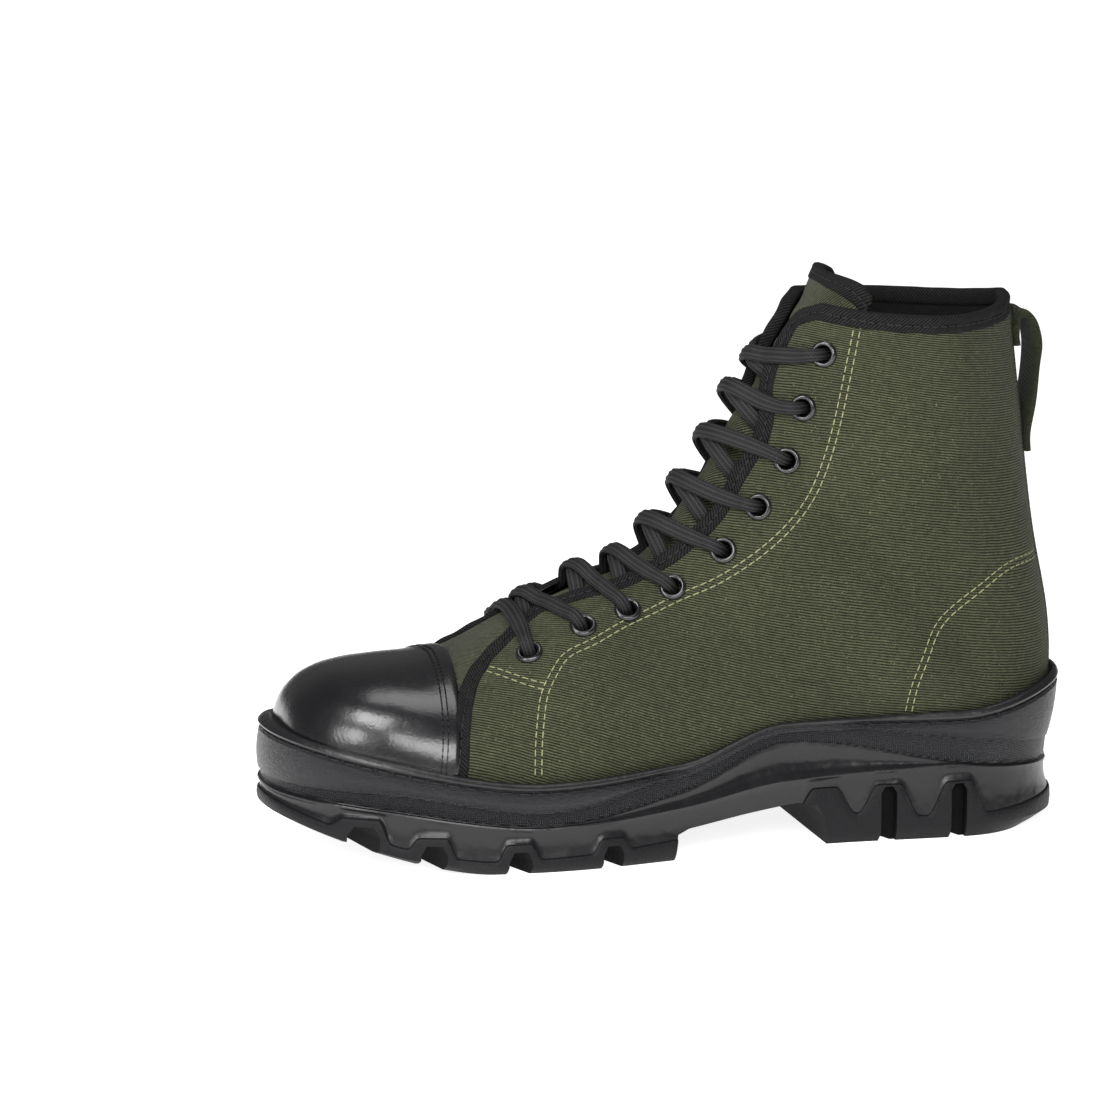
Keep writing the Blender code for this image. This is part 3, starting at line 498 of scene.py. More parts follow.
def pocket_cutters():
    """Upright pockets in the heel's side wall over the heel grooves."""
    bodies = []
    rounded = ((-0.5, 0.88), (-0.25, 1.0), (0.25, 1.0), (0.5, 0.88))
    for side in (OUTER, INNER):
        for x in HEEL_GROOVES:
            half, centre = outline_half((x + HEEL_SEAT) / LAST_LENGTH)
            width, height = HEEL_GROOVE_WIDTH * 1.1, HEEL_GROOVE_HEIGHT
            profile = [(-0.5 * width, BELOW)]
            profile += [(u * width, v * height) for u, v in rounded]
            profile.append((0.5 * width, BELOW))
            inside = centre * side + half + SOLE_EDGE - HEEL_GROOVE_DEPTH
            bodies.append(prism(profile, (x, side * OUTSIDE), (x, side * inside)))
    return bodies


CAP_LEAN = 0.025


def cap_station():
    """Station whose upper end lies where the toe cap stops."""
    stations = np.linspace(0.1, 0.45, 141)
    reach = [section(k)["top"][0] for k in stations]
    return float(np.interp(-(length_x(1) - CAP_LENGTH), -np.array(reach), stations))


LIP_STEPS = 60


def lip_turn(station, side, margin):
    """The lowest turn that stands a margin above the sole's lip."""
    turns = np.linspace(0, 1, LIP_STEPS + 1)
    clear = []
    for turn in turns:
        x, _, z = upper_point(station, side, turn)
        share = min(1.0, max(0.0, (x + HEEL_SEAT) / LAST_LENGTH))
        clear.append(z - HEIGHTS(share)["lip_top"] * RIM_HEIGHT - margin)
    clear = np.array(clear)
    if clear[-1] <= 0:
        return 1.0
    last = int(np.max(np.nonzero(clear <= 0)))
    part = -clear[last] / (clear[last + 1] - clear[last])
    return float(turns[last] + part * (turns[last + 1] - turns[last]))


TONGUE = Table(
    "half",
    ((0.36, 0.16), (0.45, 0.25), (0.60, 0.32), (0.90, 0.34), (1.60, 0.35), (2.30, 0.40)),
    level=True,
)
TONGUE_START = 0.365
TONGUE_END = 2.23
TONGUE_CORNER = 0.20
TONGUE_CROWDING = 1.5

# The pull loop's path: station on the back seam, and how far it stands off as a share of the
# loop's reach.
LOOP_PATH = Table(
    "station out",
    (
        (0.00, 1.895, 0.00),
        (0.10, 1.930, 0.04),
        (0.22, 1.956, 0.38),
        (0.34, 1.947, 0.82),
        (0.45, 1.908, 1.00),
        (0.60, 1.860, 0.86),
        (0.75, 1.795, 0.56),
        (0.88, 1.740, 0.22),
        (0.95, 1.705, 0.04),
        (1.00, 1.675, 0.00),
    ),
)


def loop_centre(share):
    row = LOOP_PATH(share)
    out = CLEARANCE + LOOP_THICKNESS / 2 + max(row["out"], 0.0) * LOOP_REACH
    x, _, z = upper_point(row["station"], OUTER, 0)
    return np.array((x - out, 0.0, z))


FINE = 1.0
SIDES = (OUTER, INNER)


def smooth(low, high, value):
    """0 below low, 1 above high and a smooth rise between."""
    t = np.clip((np.asarray(value, float) - low) / (high - low), 0, 1)
    return t * t * (3 - 2 * t)


def unit(vectors):
    return vectors / np.maximum(np.linalg.norm(vectors, axis=-1, keepdims=True), 1e-12)


# Soft troughs and ridges of the worn cloth: side, the line's two ends in (x, z), its width and
# its depth in millimetres. Depths below 0 are troughs.
CREASES = (
    (OUTER, 0.048, 0.118, 0.074, 0.068, 8.0, -0.9),
    (OUTER, 0.034, 0.100, 0.056, 0.062, 9.0, 0.6),
    (OUTER, 0.024, 0.192, 0.021, 0.166, 7.0, -0.5),
    (OUTER, 0.002, 0.190, -0.002, 0.150, 9.0, 0.4),
    (OUTER, 0.060, 0.135, 0.030, 0.112, 6.0, -0.4),
    (OUTER, 0.085, 0.095, 0.070, 0.100, 6.0, 0.4),
    (OUTER, 0.128, 0.078, 0.112, 0.052, 6.0, -0.4),
    (OUTER, 0.170, 0.072, 0.160, 0.048, 5.0, -0.35),
    (OUTER, -0.018, 0.118, 0.010, 0.105, 7.0, -0.35),
    (OUTER, 0.012, 0.075, 0.030, 0.062, 8.0, 0.4),
    (INNER, 0.050, 0.120, 0.078, 0.072, 8.0, -0.9),
    (INNER, 0.030, 0.106, 0.054, 0.066, 9.0, 0.5),
    (INNER, 0.018, 0.188, 0.016, 0.160, 8.0, -0.5),
    (INNER, 0.066, 0.130, 0.036, 0.108, 6.0, -0.4),
    (INNER, 0.125, 0.080, 0.106, 0.054, 6.0, -0.4),
    (INNER, -0.014, 0.122, 0.012, 0.110, 7.0, -0.35),
)

# Lines of the pattern on one side, as (station, turn).
FRONT_EDGE = (
    (0.270, 0.00),
    (0.273, 0.12),
    (0.277, 0.246),
    (0.281, 0.358),
    (0.286, 0.461),
    (0.294, 0.567),
    (0.304, 0.665),
    (0.317, 0.741),
    (0.330, 0.787),
    (0.343, 0.818),
    (0.356, 0.842),
    (0.370, 0.873),
    (0.386, 0.893),
)
FACING_SEAM = (
    (1.930, 0.650),
    (1.707, 0.658),
    (1.462, 0.664),
    (1.196, 0.673),
    (0.957, 0.673),
    (0.821, 0.653),
    (0.736, 0.634),
    (0.658, 0.620),
    (0.597, 0.620),
    (0.549, 0.636),
    (0.503, 0.642),
    (0.460, 0.634),
    (0.423, 0.610),
    (0.397, 0.596),
    (0.385, 0.554),
    (0.375, 0.500),
    (0.368, 0.413),
    (0.364, 0.322),
    (0.362, 0.180),
)
BRANCH_SEAM = ((0.324, 0.735), (0.333, 0.690), (0.347, 0.620), (0.363, 0.554), (0.376, 0.513))
COUNTER_SEAM = (
    (1.430, 0.085),
    (1.416, 0.130),
    (1.315, 0.272),
    (1.177, 0.347),
    (1.038, 0.394),
    (0.892, 0.377),
    (0.835, 0.330),
    (0.793, 0.271),
    (0.740, 0.160),
)
SEAMS = (FACING_SEAM, BRANCH_SEAM, COUNTER_SEAM)
SEAM_SPREAD = 0.00125
SEAM_PITCH, SEAM_THREAD, SEAM_GAP = 0.0034, 0.00026, 0.0008
# Stations where the quarter's edge starts, lies fully open and meets the throat's own line.
EDGE_START, EDGE_OPEN, EDGE_END = 0.386, 0.47, 0.52
# Least distance of that edge from the instep's middle line, in metres.
LOW_EDGE = Table(
    "arc",
    ((EDGE_START, 0.0095), (0.42, 0.0120), (EDGE_OPEN, 0.0134), (EDGE_END, 0.0136)),
    level=True,
)


class Skin:
    """The upper's outside as a dense grid: rows by station, columns from inner to outer side."""

    STEP = 0.004
    TOP = 2.32
    HALF = 120

    def __init__(self):
        self.k = np.arange(0, self.TOP, self.STEP)
        self.w = np.linspace(-1, 1, 2 * self.HALF + 1)
        self.points = np.array(
            [[upper_point(k, OUTER if w >= 0 else INNER, 1 - abs(w)) for w in self.w] for k in self.k]
        )
        self.normals = self.face_out()
        self.points = self.points + self.normals * self.relief()[..., None]
        self.normals = self.face_out()
        steps = np.linalg.norm(np.diff(self.points, axis=1), axis=-1)
        run = np.concatenate((np.zeros((len(self.k), 1)), np.cumsum(steps, axis=1)), axis=1)
        self.arc = run - run[:, self.HALF : self.HALF + 1]
        self.flat = self.unroll()
        self.tree = self.search_tree()

    def face_out(self):
        along = np.gradient(self.points, axis=0)
        across = np.gradient(self.points, axis=1)
        normals = unit(np.cross(across, along))
        seam = self.k >= 1.0
        back = normals[seam, 0] + normals[seam, -1]
        back[:, 1] = 0
        normals[seam, 0] = normals[seam, -1] = unit(back)
        return normals

    def relief(self):
        """Height of the creases over the smooth last."""
        x, z = self.points[..., 0], self.points[..., 2]
        total = np.zeros(x.shape)
        for side, x0, z0, x1, z1, width, depth in CREASES:
            dx, dz = x1 - x0, z1 - z0
            part = np.clip(((x - x0) * dx + (z - z0) * dz) / (dx * dx + dz * dz), 0, 1)
            away = np.hypot(x - x0 - part * dx, z - z0 - part * dz) / (width * 1e-3)
            total += depth * 1e-3 * np.exp(-(away**2)) * (side * self.w[None, :] > 0)
        middle = smooth(0, 0.18, np.abs(self.w))[None, :]
        return total * middle

    def unroll(self):
        """Each section laid straight along its chord, for the direction of the cloth."""
        flat = np.zeros((*self.arc.shape, 2))
        for i, k in enumerate(self.k):
            s = section(float(k))
            top, foot = np.array(s["top"]), np.array(s["foot"])
            flat[i] = top + unit(foot - top) * np.abs(self.arc[i])[:, None]
        return flat

    def search_tree(self):
        rows, columns = self.arc.shape
        index = np.arange(rows * columns).reshape(rows, columns)
        quads = np.stack((index[:-1, :-1], index[1:, :-1], index[1:, 1:], index[:-1, 1:]), -1)
        return BVHTree.FromPolygons(
            [Vector(p) for p in self.points.reshape(-1, 3)], quads.reshape(-1, 4).tolist()
        )

    def sample(self, field, k, w):
        i = np.clip(np.asarray(k, float) / self.STEP, 0, len(self.k) - 1.001)
        j = np.clip((np.asarray(w, float) + 1) * self.HALF, 0, 2 * self.HALF - 0.001)
        i, j = np.broadcast_arrays(i, j)
        row, column = i.astype(int), j.astype(int)
        u, v = (i - row)[..., None], (j - column)[..., None]
        low = field[row, column] * (1 - v) + field[row, column + 1] * v
        high = field[row + 1, column] * (1 - v) + field[row + 1, column + 1] * v
        return low * (1 - u) + high * u

    def at(self, k, w, lift=0.0):
        spots = self.sample(self.points, k, w)
        return spots + self.normal(k, w) * np.asarray(lift, float)[..., None]

    def normal(self, k, w):
        return unit(self.sample(self.normals, k, w))

    def cloth(self, k, w):
        return self.sample(self.flat, k, w)

    def w_at(self, k, arc):
        """Column at a signed arc's length from the instep's middle line."""
        k, arc = np.broadcast_arrays(np.asarray(k, float), np.asarray(arc, float))
        found = np.empty(k.shape)
        for place in np.ndindex(k.shape):
            position = min(k[place] / self.STEP, len(self.k) - 1.001)
            i = int(position)
            low = np.interp(arc[place], self.arc[i], self.w)
            high = np.interp(arc[place], self.arc[i + 1], self.w)
            found[place] = low + (high - low) * (position - i)
        return found

    def arc_total(self, k, side):
        """Length of a section from the middle line to its lower end."""
        row = min(int(round(k / self.STEP)), len(self.k) - 1)
        return abs(self.arc[row, -1 if side > 0 else 0])

    def drape(self, spots, lift):
        """Lay points on the nearest part of the skin, at a lift over it."""
        laid, facing = [], []
        for spot in np.asarray(spots).reshape(-1, 3):
            hit, normal, _, _ = self.tree.find_nearest(Vector(spot))
            laid.append(hit)
            facing.append(-normal)
        laid, facing = np.array(laid), unit(np.array(facing))
        lift = np.broadcast_to(np.asarray(lift, float), np.shape(spots)[:-1]).reshape(-1)
        return (laid + facing * lift[:, None]).reshape(np.shape(spots))


class Heap:
    """Points and faces gathered into one object."""

    def __init__(self):
        self.points, self.faces, self.zones, self.maps = [], [], [], []
        self.count = 0

    def grid(self, points, uv=None, zone=0, keep=None, wrap=False, flip=False):
        points = np.asarray(points, float)
        rows, columns = points.shape[:2]
        index = self.count + np.arange(rows * columns).reshape(rows, columns)
        self.points.append(points.reshape(-1, 3))
        self.count += rows * columns
        if wrap:
            index = np.hstack((index, index[:, :1]))
        if uv is None:
            uv = np.zeros((*index.shape, 2))
        turn = [(0, 0), (1, 0), (1, 1), (0, 1)]
        if flip:
            turn = turn[::-1]
        high, wide = index.shape[0] - 1, index.shape[1] - 1
        quads = np.stack([index[a : a + high, b : b + wide] for a, b in turn], -1)
        corners = np.stack([np.asarray(uv)[a : a + high, b : b + wide] for a, b in turn], -2)
        mask = np.ones((high, wide), bool) if keep is None else keep
        self.faces.append(quads[mask])
        self.maps.append(corners[mask].reshape(-1, 2))
        self.zones.append(np.broadcast_to(zone, (high, wide))[mask])

    def make(self, name, looks, slot, replaces=(), weld=False):
        mesh = bpy.data.meshes.new(name)
        mesh.from_pydata(np.concatenate(self.points).tolist(), [], np.concatenate(self.faces).tolist())
        layer = mesh.uv_layers.new(name="cloth")
        layer.data.foreach_set("uv", np.concatenate(self.maps).astype(np.float32).ravel())
        mesh.polygons.foreach_set("material_index", np.concatenate(self.zones).astype(np.int32))
        mesh.polygons.foreach_set("use_smooth", np.ones(len(mesh.polygons), bool))
        for look in looks:
            mesh.materials.append(look)
        if weld:
            bm = bmesh.new()
            bm.from_mesh(mesh)
            bmesh.ops.remove_doubles(bm, verts=bm.verts, dist=2e-6)
            bmesh.ops.dissolve_degenerate(bm, edges=bm.edges, dist=1e-6)
            bmesh.ops.recalc_face_normals(bm, faces=bm.faces)
            bm.to_mesh(mesh)
            bm.free()
        made = bpy.data.objects.new(name, mesh)
        bpy.context.scene.collection.objects.link(made)
        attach(made, "root")
        if replaces:
            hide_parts(*replaces)
        return made


def path_run(points):
    """Length walked along a path up to each of its points."""
    return np.concatenate(([0], np.cumsum(np.linalg.norm(np.diff(points, axis=0), axis=1))))


def frames_along(points, normals):
    """Directions ahead and across at every point of a path on the skin."""
    ahead = unit(np.gradient(points, axis=0))
    across = unit(np.cross(normals, ahead))
    return ahead, across


def resample(points, normals, pitch):
    """Points and normals at even steps along a path."""
    run = path_run(points)
    count = max(2, int(round(run[-1] / pitch)))
    stops = (np.arange(count) + 0.5) * run[-1] / count
    pick = lambda values: np.stack([np.interp(stops, run, values[:, c]) for c in range(3)], 1)
    return pick(points), unit(pick(normals))


STITCH_RINGS = ((-0.5, 0.15), (-0.46, 0.75), (-0.30, 1.0), (0.30, 1.0), (0.46, 0.75), (0.5, 0.15))
STITCH_SIDES = 6


def stitches(heap, points, normals, pitch, size, zone=0, hole_shade=1, lift=0.0, gap=0.0005, bore=1.15):
    """A row of thread stitches along a path, with a dark cone between each two: painted shade in the needle
    hole.
    """
    spots, up = resample(points, normals, pitch)
    ahead, across = frames_along(spots, up)
    turns = np.linspace(0, 2 * math.pi, STITCH_SIDES, endpoint=False)
    for spot, n, a, c in zip(spots, up, ahead, across):
        length = pitch - gap
        rings = []
        for part, wide in STITCH_RINGS:
            bow = size * 0.35 * (1 - (2 * part) ** 2)
            middle = spot + a * part * length + n * (lift + bow)
            rings.append(
                middle
                + wide * size * (np.cos(turns)[:, None] * c + 0.8 * np.sin(turns)[:, None] * n)
            )
        heap.grid(rings, zone=zone, wrap=True)
        # A dark cone sunk into the needle hole: painted shade.
        centre = spot + a * pitch / 2
        circle = np.cos(turns)[:, None] * c + np.sin(turns)[:, None] * a
        rim = centre + n * (lift - 0.0002) + size * bore * circle
        heap.grid([rim, centre + n * (lift + 0.0001) + 1e-5 * circle], zone=hole_shade, wrap=True)


def path_on_skin(skin, rows, side, count=240):
    """Points and normals of a pattern line given as (station, turn)."""
    rows = np.array(rows, float)
    w = side * (1 - rows[:, 1])
    curve, _ = round_curve(skin.at(rows[:, 0], w, np.zeros(len(w))), count)
    laid = skin.drape(curve, 0.0)
    return laid, skin_normals(skin, laid)


def edge_arc(k):
    """Arc from the middle line to the quarter's edge beside the throat."""
    low = LOW_EDGE(max(k, EDGE_START))["arc"] if k < EDGE_END else 0.0
    return max(throat_gap(k), low)


FRONT = Table("k", [(turn, k) for k, turn in FRONT_EDGE], level=True)
FRONT_TOP = FRONT_EDGE[-1][1]
QUARTER_LIFT = 0.0007
EYE_GAP = 0.0039


class Ends:
    """Turn at which a panel stops beside the throat, for one side."""

    def __init__(self, skin, side, arc_of, first):
        self.k = np.linspace(first, 2.0, 220)
        arcs = np.array([arc_of(k) for k in self.k])
        self.turn = 1 - np.abs(skin.w_at(self.k, side * arcs))

    def __call__(self, k):
        return np.interp(k, self.k, self.turn)


def eyelet_frames(skin):
    """Name, centre and the directions ahead, across and out of every eyelet."""
    found = []
    for side, word in ((OUTER, "outer"), (INNER, "inner")):
        for i, (k, reach) in enumerate(EYELETS):
            w = skin.w_at(k, side * reach * BALL_WIDTH)
            spot, up = skin.at(k, w), skin.normal(k, w)
            ahead = unit(skin.at(k + 0.01, skin.w_at(k + 0.01, side * reach * BALL_WIDTH)) - spot)
            across = unit(np.cross(up, ahead))
            vectors = [v.reshape(3) for v in (spot, ahead, across, up)]
            found.append((f"eyelet_{word}_{i + 1}", *vectors))
    return found


def clear_of_eyes(points, eyes):
    """False for the faces that lie in an eyelet's hole."""
    points = np.asarray(points)
    centres = (points[:-1, :-1] + points[1:, :-1] + points[1:, 1:] + points[:-1, 1:]) / 4
    keep = np.ones(centres.shape[:2], bool)
    for _, spot, _, _, _ in eyes:
        keep &= np.linalg.norm(centres - spot, axis=-1) > EYE_GAP
    return keep


def cloth_map(skin, k, w, slant):
    """Cloth coordinates in metres: along the ribs and across them."""
    flat = skin.cloth(k, w)
    c, s = math.cos(slant), math.sin(slant)
    return np.stack((flat[..., 0] * c + flat[..., 1] * s, flat[..., 1] * c - flat[..., 0] * s), -1)


RIB_SLANT = math.radians(7.7)
VAMP_SLANT = math.radians(48)


def build_shell(skin, eyes, canvas, lining):
    heap = Heap()
    rows, columns = int(260 * FINE), int(70 * FINE)
    for side in SIDES:
        ends = Ends(skin, side, lambda k: throat_gap(k) + 0.0001, THROAT_START)
        k = np.concatenate((np.linspace(0, THROAT_START, rows // 3), np.linspace(THROAT_START, 2, rows)[1:]))
        end = np.where(k < THROAT_START, 1.0, ends(k))
        turn = np.linspace(0, 1, columns)[None, :] * end[:, None]
        sag = np.vectorize(collar_station)(k[:, None] + 0 * turn, turn)
        w = side * (1 - turn)
        uv = cloth_map(skin, sag, w, VAMP_SLANT)
        outside = skin.at(sag, w, np.zeros(w.shape))
        keep = clear_of_eyes(outside, eyes)
        heap.grid(outside, uv, 0, keep, flip=side == OUTER)
        heap.grid(skin.at(sag, w, np.full(w.shape, -WALL)), uv, 1, keep, flip=side == INNER)
    return heap.make("canvas_shell", [canvas, lining], "upper_canvas", ["upper"])


def near_lines(points, lines, reach):
    """Distance from each point to the nearest of the lines, as far as a reach."""
    spots = np.concatenate(lines)
    away = np.full(points.shape[:-1], reach)
    tree = KDTree(len(spots))
    for i, spot in enumerate(spots):
        tree.insert(spot, i)
    tree.balance()
    for place in np.ndindex(away.shape):
        away[place] = min(reach, tree.find(points[place])[2])
    return away


def build_quarters(skin, eyes, canvas):
    rows, columns = int(400 * FINE), int(120 * FINE)
    for side, word in ((OUTER, "outer"), (INNER, "inner")):
        ends = Ends(skin, side, edge_arc, EDGE_START)
        share = np.linspace(0, 1, columns)
        front = np.array([FRONT(t * FRONT_TOP)["k"] for t in share])
        k = front[None, :] + (2 - front[None, :]) * np.linspace(0, 1, rows)[:, None] ** 1.1
        turn = share[None, :] * np.where(k < EDGE_START, FRONT_TOP, ends(k))
        sag = np.vectorize(collar_station)(k, turn)
        w = side * (1 - turn)
        flat = skin.at(sag, w, np.zeros(w.shape))
        lines = [path_on_skin(skin, seam, side, 500)[0] for seam in SEAMS]
        away = near_lines(flat, lines, 0.02)
        lift = QUARTER_LIFT + 0.0003 - 0.00035 * np.exp(-((away / 0.0022) ** 2))
        points = skin.at(sag, w, lift)
        heap = Heap()
        uv = cloth_map(skin, sag, w, RIB_SLANT)
        heap.grid(points, uv, 0, clear_of_eyes(points, eyes), flip=side == OUTER)
        heap.make(f"quarter_{word}", [canvas], "upper_canvas")


def build_seams(skin, thread, hole_shade):
    heap = Heap()
    for side in SIDES:
        for seam in SEAMS:
            points, normals = path_on_skin(skin, seam, side, 300)
            _, across = frames_along(points, normals)
            for offset in (-SEAM_SPREAD, SEAM_SPREAD):
                line = points + across * offset
                stitches(heap, line, normals, SEAM_PITCH, SEAM_THREAD, 0, 1, QUARTER_LIFT, gap=SEAM_GAP)
    return heap.make("seam_stitches", [thread, hole_shade], "upper_canvas")


FRONT_WIDER = 0.35
FRONT_WIDER_END = 0.045
BIND_SEWN = 0.00295
BIND_PITCH, BIND_THREAD = 0.0033, 0.00027
PUCKER_HEIGHT, PUCKER_PITCH = 0.00018, 0.0021
# The folded tape's section: distance from the edge onto the panel, and lift, in millimetres.
BIND_SECTION = (
    (5.75, 0.60),
    (5.65, 1.20),
    (5.20, 1.50),
    (4.30, 1.62),
    (3.45, 1.55),
    (2.95, 1.38),
    (2.45, 1.58),
    (1.50, 1.85),
    (0.60, 1.95),
    (0.00, 1.80),
    (-0.50, 1.35),
    (-0.80, 0.50),
    (-0.85, -0.60),
    (-0.80, -1.60),
    (-0.50, -2.50),
    (0.00, -2.95),
    (1.20, -3.15),
    (3.00, -3.10),
    (4.80, -3.00),
    (5.30, -2.20),
)


def slanted(uv):
    """A map turned by 45 degrees, for ribs that run slantwise."""
    return np.stack((uv[..., 0] + uv[..., 1], uv[..., 1] - uv[..., 0]), -1) / math.sqrt(2)


def binding_path(skin, side):
    """The panel's bound edge: up the front, along the throat and round the collar."""
    ends = Ends(skin, side, edge_arc, EDGE_START)
    front = [(FRONT(t)["k"], t) for t in np.linspace(0.08, FRONT_TOP, 60)]
    throat = [(k, float(ends(k))) for k in np.linspace(0.390, 2.0, 260)]
    collar = [(2.0, t) for t in np.linspace(float(ends(2.0)), 0, 120)[1:]]
    places = np.array([(collar_station(k, t), t) for k, t in front + throat + collar])
    opened = np.concatenate(
        (np.zeros(len(front)), smooth(EDGE_START, EDGE_OPEN, [k for k, _ in throat]), np.ones(len(collar)))
    )
    w = side * (1 - places[:, 1])
    points, normals = skin.at(places[:, 0], w, np.zeros(len(w))), skin.normal(places[:, 0], w)
    run = path_run(points)
    stops = np.arange(0, run[-1], 0.0008 / FINE)
    even = lambda v: np.interp(stops, run, v)
    points = np.stack([even(points[:, c]) for c in range(3)], 1)
    normals = unit(np.stack([even(normals[:, c]) for c in range(3)], 1))
    opened = even(opened)
    for _ in range(6):
        points[1:-1] = (points[:-2] + 2 * points[1:-1] + points[2:]) / 4
        normals[1:-1] = unit(normals[:-2] + 2 * normals[1:-1] + normals[2:])
    return points, normals, opened, stops


def build_binding(skin, tape, thread, hole_shade):
    heap = Heap()
    sewn = Heap()
    for side in SIDES:
        points, normals, opened, run = binding_path(skin, side)
        ahead = unit(np.gradient(points, axis=0))
        inward = side * unit(np.cross(ahead, normals))
        rows, lengths = [], [0.0]
        for (d0, l0), (d1, l1) in zip(BIND_SECTION, BIND_SECTION[1:]):
            lengths.append(lengths[-1] + math.hypot(d1 - d0, l1 - l0) * 1e-3)
        wide = 1 + FRONT_WIDER * (1 - smooth(0.0, FRONT_WIDER_END, run))
        for away, lift in BIND_SECTION:
            lift = lift * 1e-3
            level = np.where(lift < 0, lift * opened, lift)
            level = level + PUCKER_HEIGHT * np.sin(run / PUCKER_PITCH) * (lift > 0)
            rows.append(skin.drape(points + inward * (away * 1e-3 * wide)[:, None], level))
        grid = np.array(rows)
        uv = np.stack(np.broadcast_arrays(run[None, :], np.array(lengths)[:, None]), -1)
        heap.grid(grid, slanted(uv), 0, flip=side == INNER)
        line = skin.drape(points + inward * (BIND_SEWN * wide)[:, None], 0.0)
        stitches(sewn, line, normals, BIND_PITCH, BIND_THREAD, 0, 1, 0.0015)
    heap.make("edge_binding", [tape], "upper_canvas")
    sewn.make("binding_stitches", [thread, hole_shade], "upper_canvas")


CAP_FIRST = 0.012
CAP_TUCK = 0.004
CAP_SEWN = (0.0022, 0.0041)
CAP_PITCH, CAP_THREAD, CAP_GAP = 0.0026, 0.00026, 0.0008
# The cap's edge rolls under: how far it drops and how far it runs on, in metres.
CAP_DROP = (0.00005, 0.0003, 0.0008, 0.0013, 0.0019)
CAP_PAST = (0.0003, 0.0008, 0.0011, 0.0012, 0.0012)


def build_scene_cap(skin, leather, thread, hole_shade):
    end = cap_station()
    rows, columns = int(90 * FINE), int(70 * FINE)
    shares = np.concatenate((np.linspace(0, 1, rows), np.ones(5)))
    heap, sewn = Heap(), Heap()
    drop = np.concatenate((np.zeros(rows), CAP_DROP))
    past = np.concatenate((np.zeros(rows), CAP_PAST))
    sides = {}
    for side in SIDES:
        k, w = [], []
        for share, extra in zip(shares, past):
            station = CAP_FIRST + (end - CAP_FIRST) * share
            low = lip_turn(station - CAP_LEAN * share, side, -CAP_TUCK)
            turn = np.linspace(low, 1, columns)
            k.append(station + extra / 0.16 - CAP_LEAN * share * (1 - turn))
            w.append(side * (1 - turn))
        sides[side] = (np.array(k), np.array(w))
    k = np.concatenate((sides[INNER][0], sides[OUTER][0][:, ::-1][:, 1:]), axis=1)
    w = np.concatenate((sides[INNER][1], sides[OUTER][1][:, ::-1][:, 1:]), axis=1)
    dents = 0.00005 * np.sin(k * 120 + 3 * w) * np.sin(w * 11 + k * 30)
    lift = 1.5 * CLEARANCE + CAP_THICKNESS - drop[:, None] + dents * (1 - smooth(0.9, 1, shares))[:, None]
    points = skin.at(k, w, lift)
    heap.grid(points, np.stack((k * 0.3, w * 0.1), -1), 0, flip=True)
    heap.make("toe_cap_leather", [leather], "cap_leather", ["toe_cap"])
    row = rows - 1
    for back in CAP_SEWN:
        spots, normals = points[row], skin.normal(k[row], w[row])
        toward = unit(points[row - 8] - points[row])
        line = spots + toward * back
        stitches(sewn, line, normals, CAP_PITCH, CAP_THREAD, 0, 1, 0.0001, gap=CAP_GAP, bore=1.6)
    sewn.make("cap_stitches", [thread, hole_shade], "cap_leather")


TONGUE_DEPTH = 0.0036
# Length of one station along the tongue's end, in metres.
TONGUE_STATION = 0.065
# The bound end's section: distance back from the end, and height over the tongue, in millimetres.
TONGUE_BIND = (
    (6.3, 0.1),
    (6.2, 0.7),
    (5.6, 0.95),
    (3.4, 1.0),
    (2.9, 0.75),
    (2.4, 1.0),
    (0.8, 1.2),
    (-0.2, 0.9),
    (-0.7, 0.0),
    (-0.8, -1.3),
    (-0.6, -2.8),
    (0.0, -3.6),
    (1.5, -3.8),
    (5.6, -3.6),
    (6.2, -2.9),
)


def build_scene_tongue(skin, canvas, tape, thread, hole_shade):
    rows, columns = int(150 * FINE), int(50 * FINE)
    heap, sewn = Heap(), Heap()
    share = np.linspace(0, 1, rows)[:, None] ** TONGUE_CROWDING
    across = np.linspace(-1, 1, columns)[None, :]
    end = TONGUE_END - TONGUE_CORNER * across**2
    k = TONGUE_START + (end - TONGUE_START) * share
    half = np.vectorize(lambda s: TONGUE(s)["half"])(k) * BALL_WIDTH
    arc = across * half
    w = skin.w_at(k, arc)
    gap = np.vectorize(throat_gap)(k)
    opened = smooth(0.0, 0.011, gap)
    wave = 0.0005 * np.sin(k * 26) * np.cos(across * 3.0)
    side_part = smooth(0.4, 1.1, np.abs(arc) / np.maximum(gap, 0.004))
    depth = WALL + 0.0006 + (TONGUE_DEPTH - WALL - 0.0006 + 0.0014 * side_part) * opened + wave * opened
    middle = skin.at(k, w, -depth)[:, columns // 2]
    run = np.cumsum(np.linalg.norm(np.diff(middle, axis=0), axis=-1))
    run = np.concatenate(([0], run))[:, None]
    uv = np.stack(((arc + run) / math.sqrt(2), (run - arc) / math.sqrt(2)), -1)
    for extra, flip in ((0.0, True), (TONGUE_THICKNESS, False)):
        heap.grid(skin.at(k, w, -depth - extra), uv, 0, flip=flip)
    edge = [skin.at(k[-1], w[-1], -depth[-1] + up) for up in (0.0, -TONGUE_THICKNESS)]
    heap.grid(np.array(edge), None, 0)
    bound = []
    lengths = []
    for back, up in TONGUE_BIND:
        kk = k[-1] - back * 1e-3 / TONGUE_STATION
        ww = skin.w_at(kk, arc[-1])
        bound.append(skin.at(kk, ww, -depth[-1] + up * 1e-3))
        lengths.append(back * -1e-3)
    tape_uv = np.stack(np.broadcast_arrays(arc[-1][None, :], np.array(lengths)[:, None]), -1)
    heap.grid(np.array(bound), slanted(tape_uv), 1)
    heap.make("tongue_canvas", [canvas, tape], "tongue_canvas", ["tongue"])
    line = bound[4]
    normals = skin.normal(k[-1], w[-1])
    stitches(sewn, line, normals, BIND_PITCH, BIND_THREAD, 0, 1, 0.0001)
    sewn.make("tongue_stitches", [thread, hole_shade], "tongue_canvas")


STRIP_HALF = 0.0098


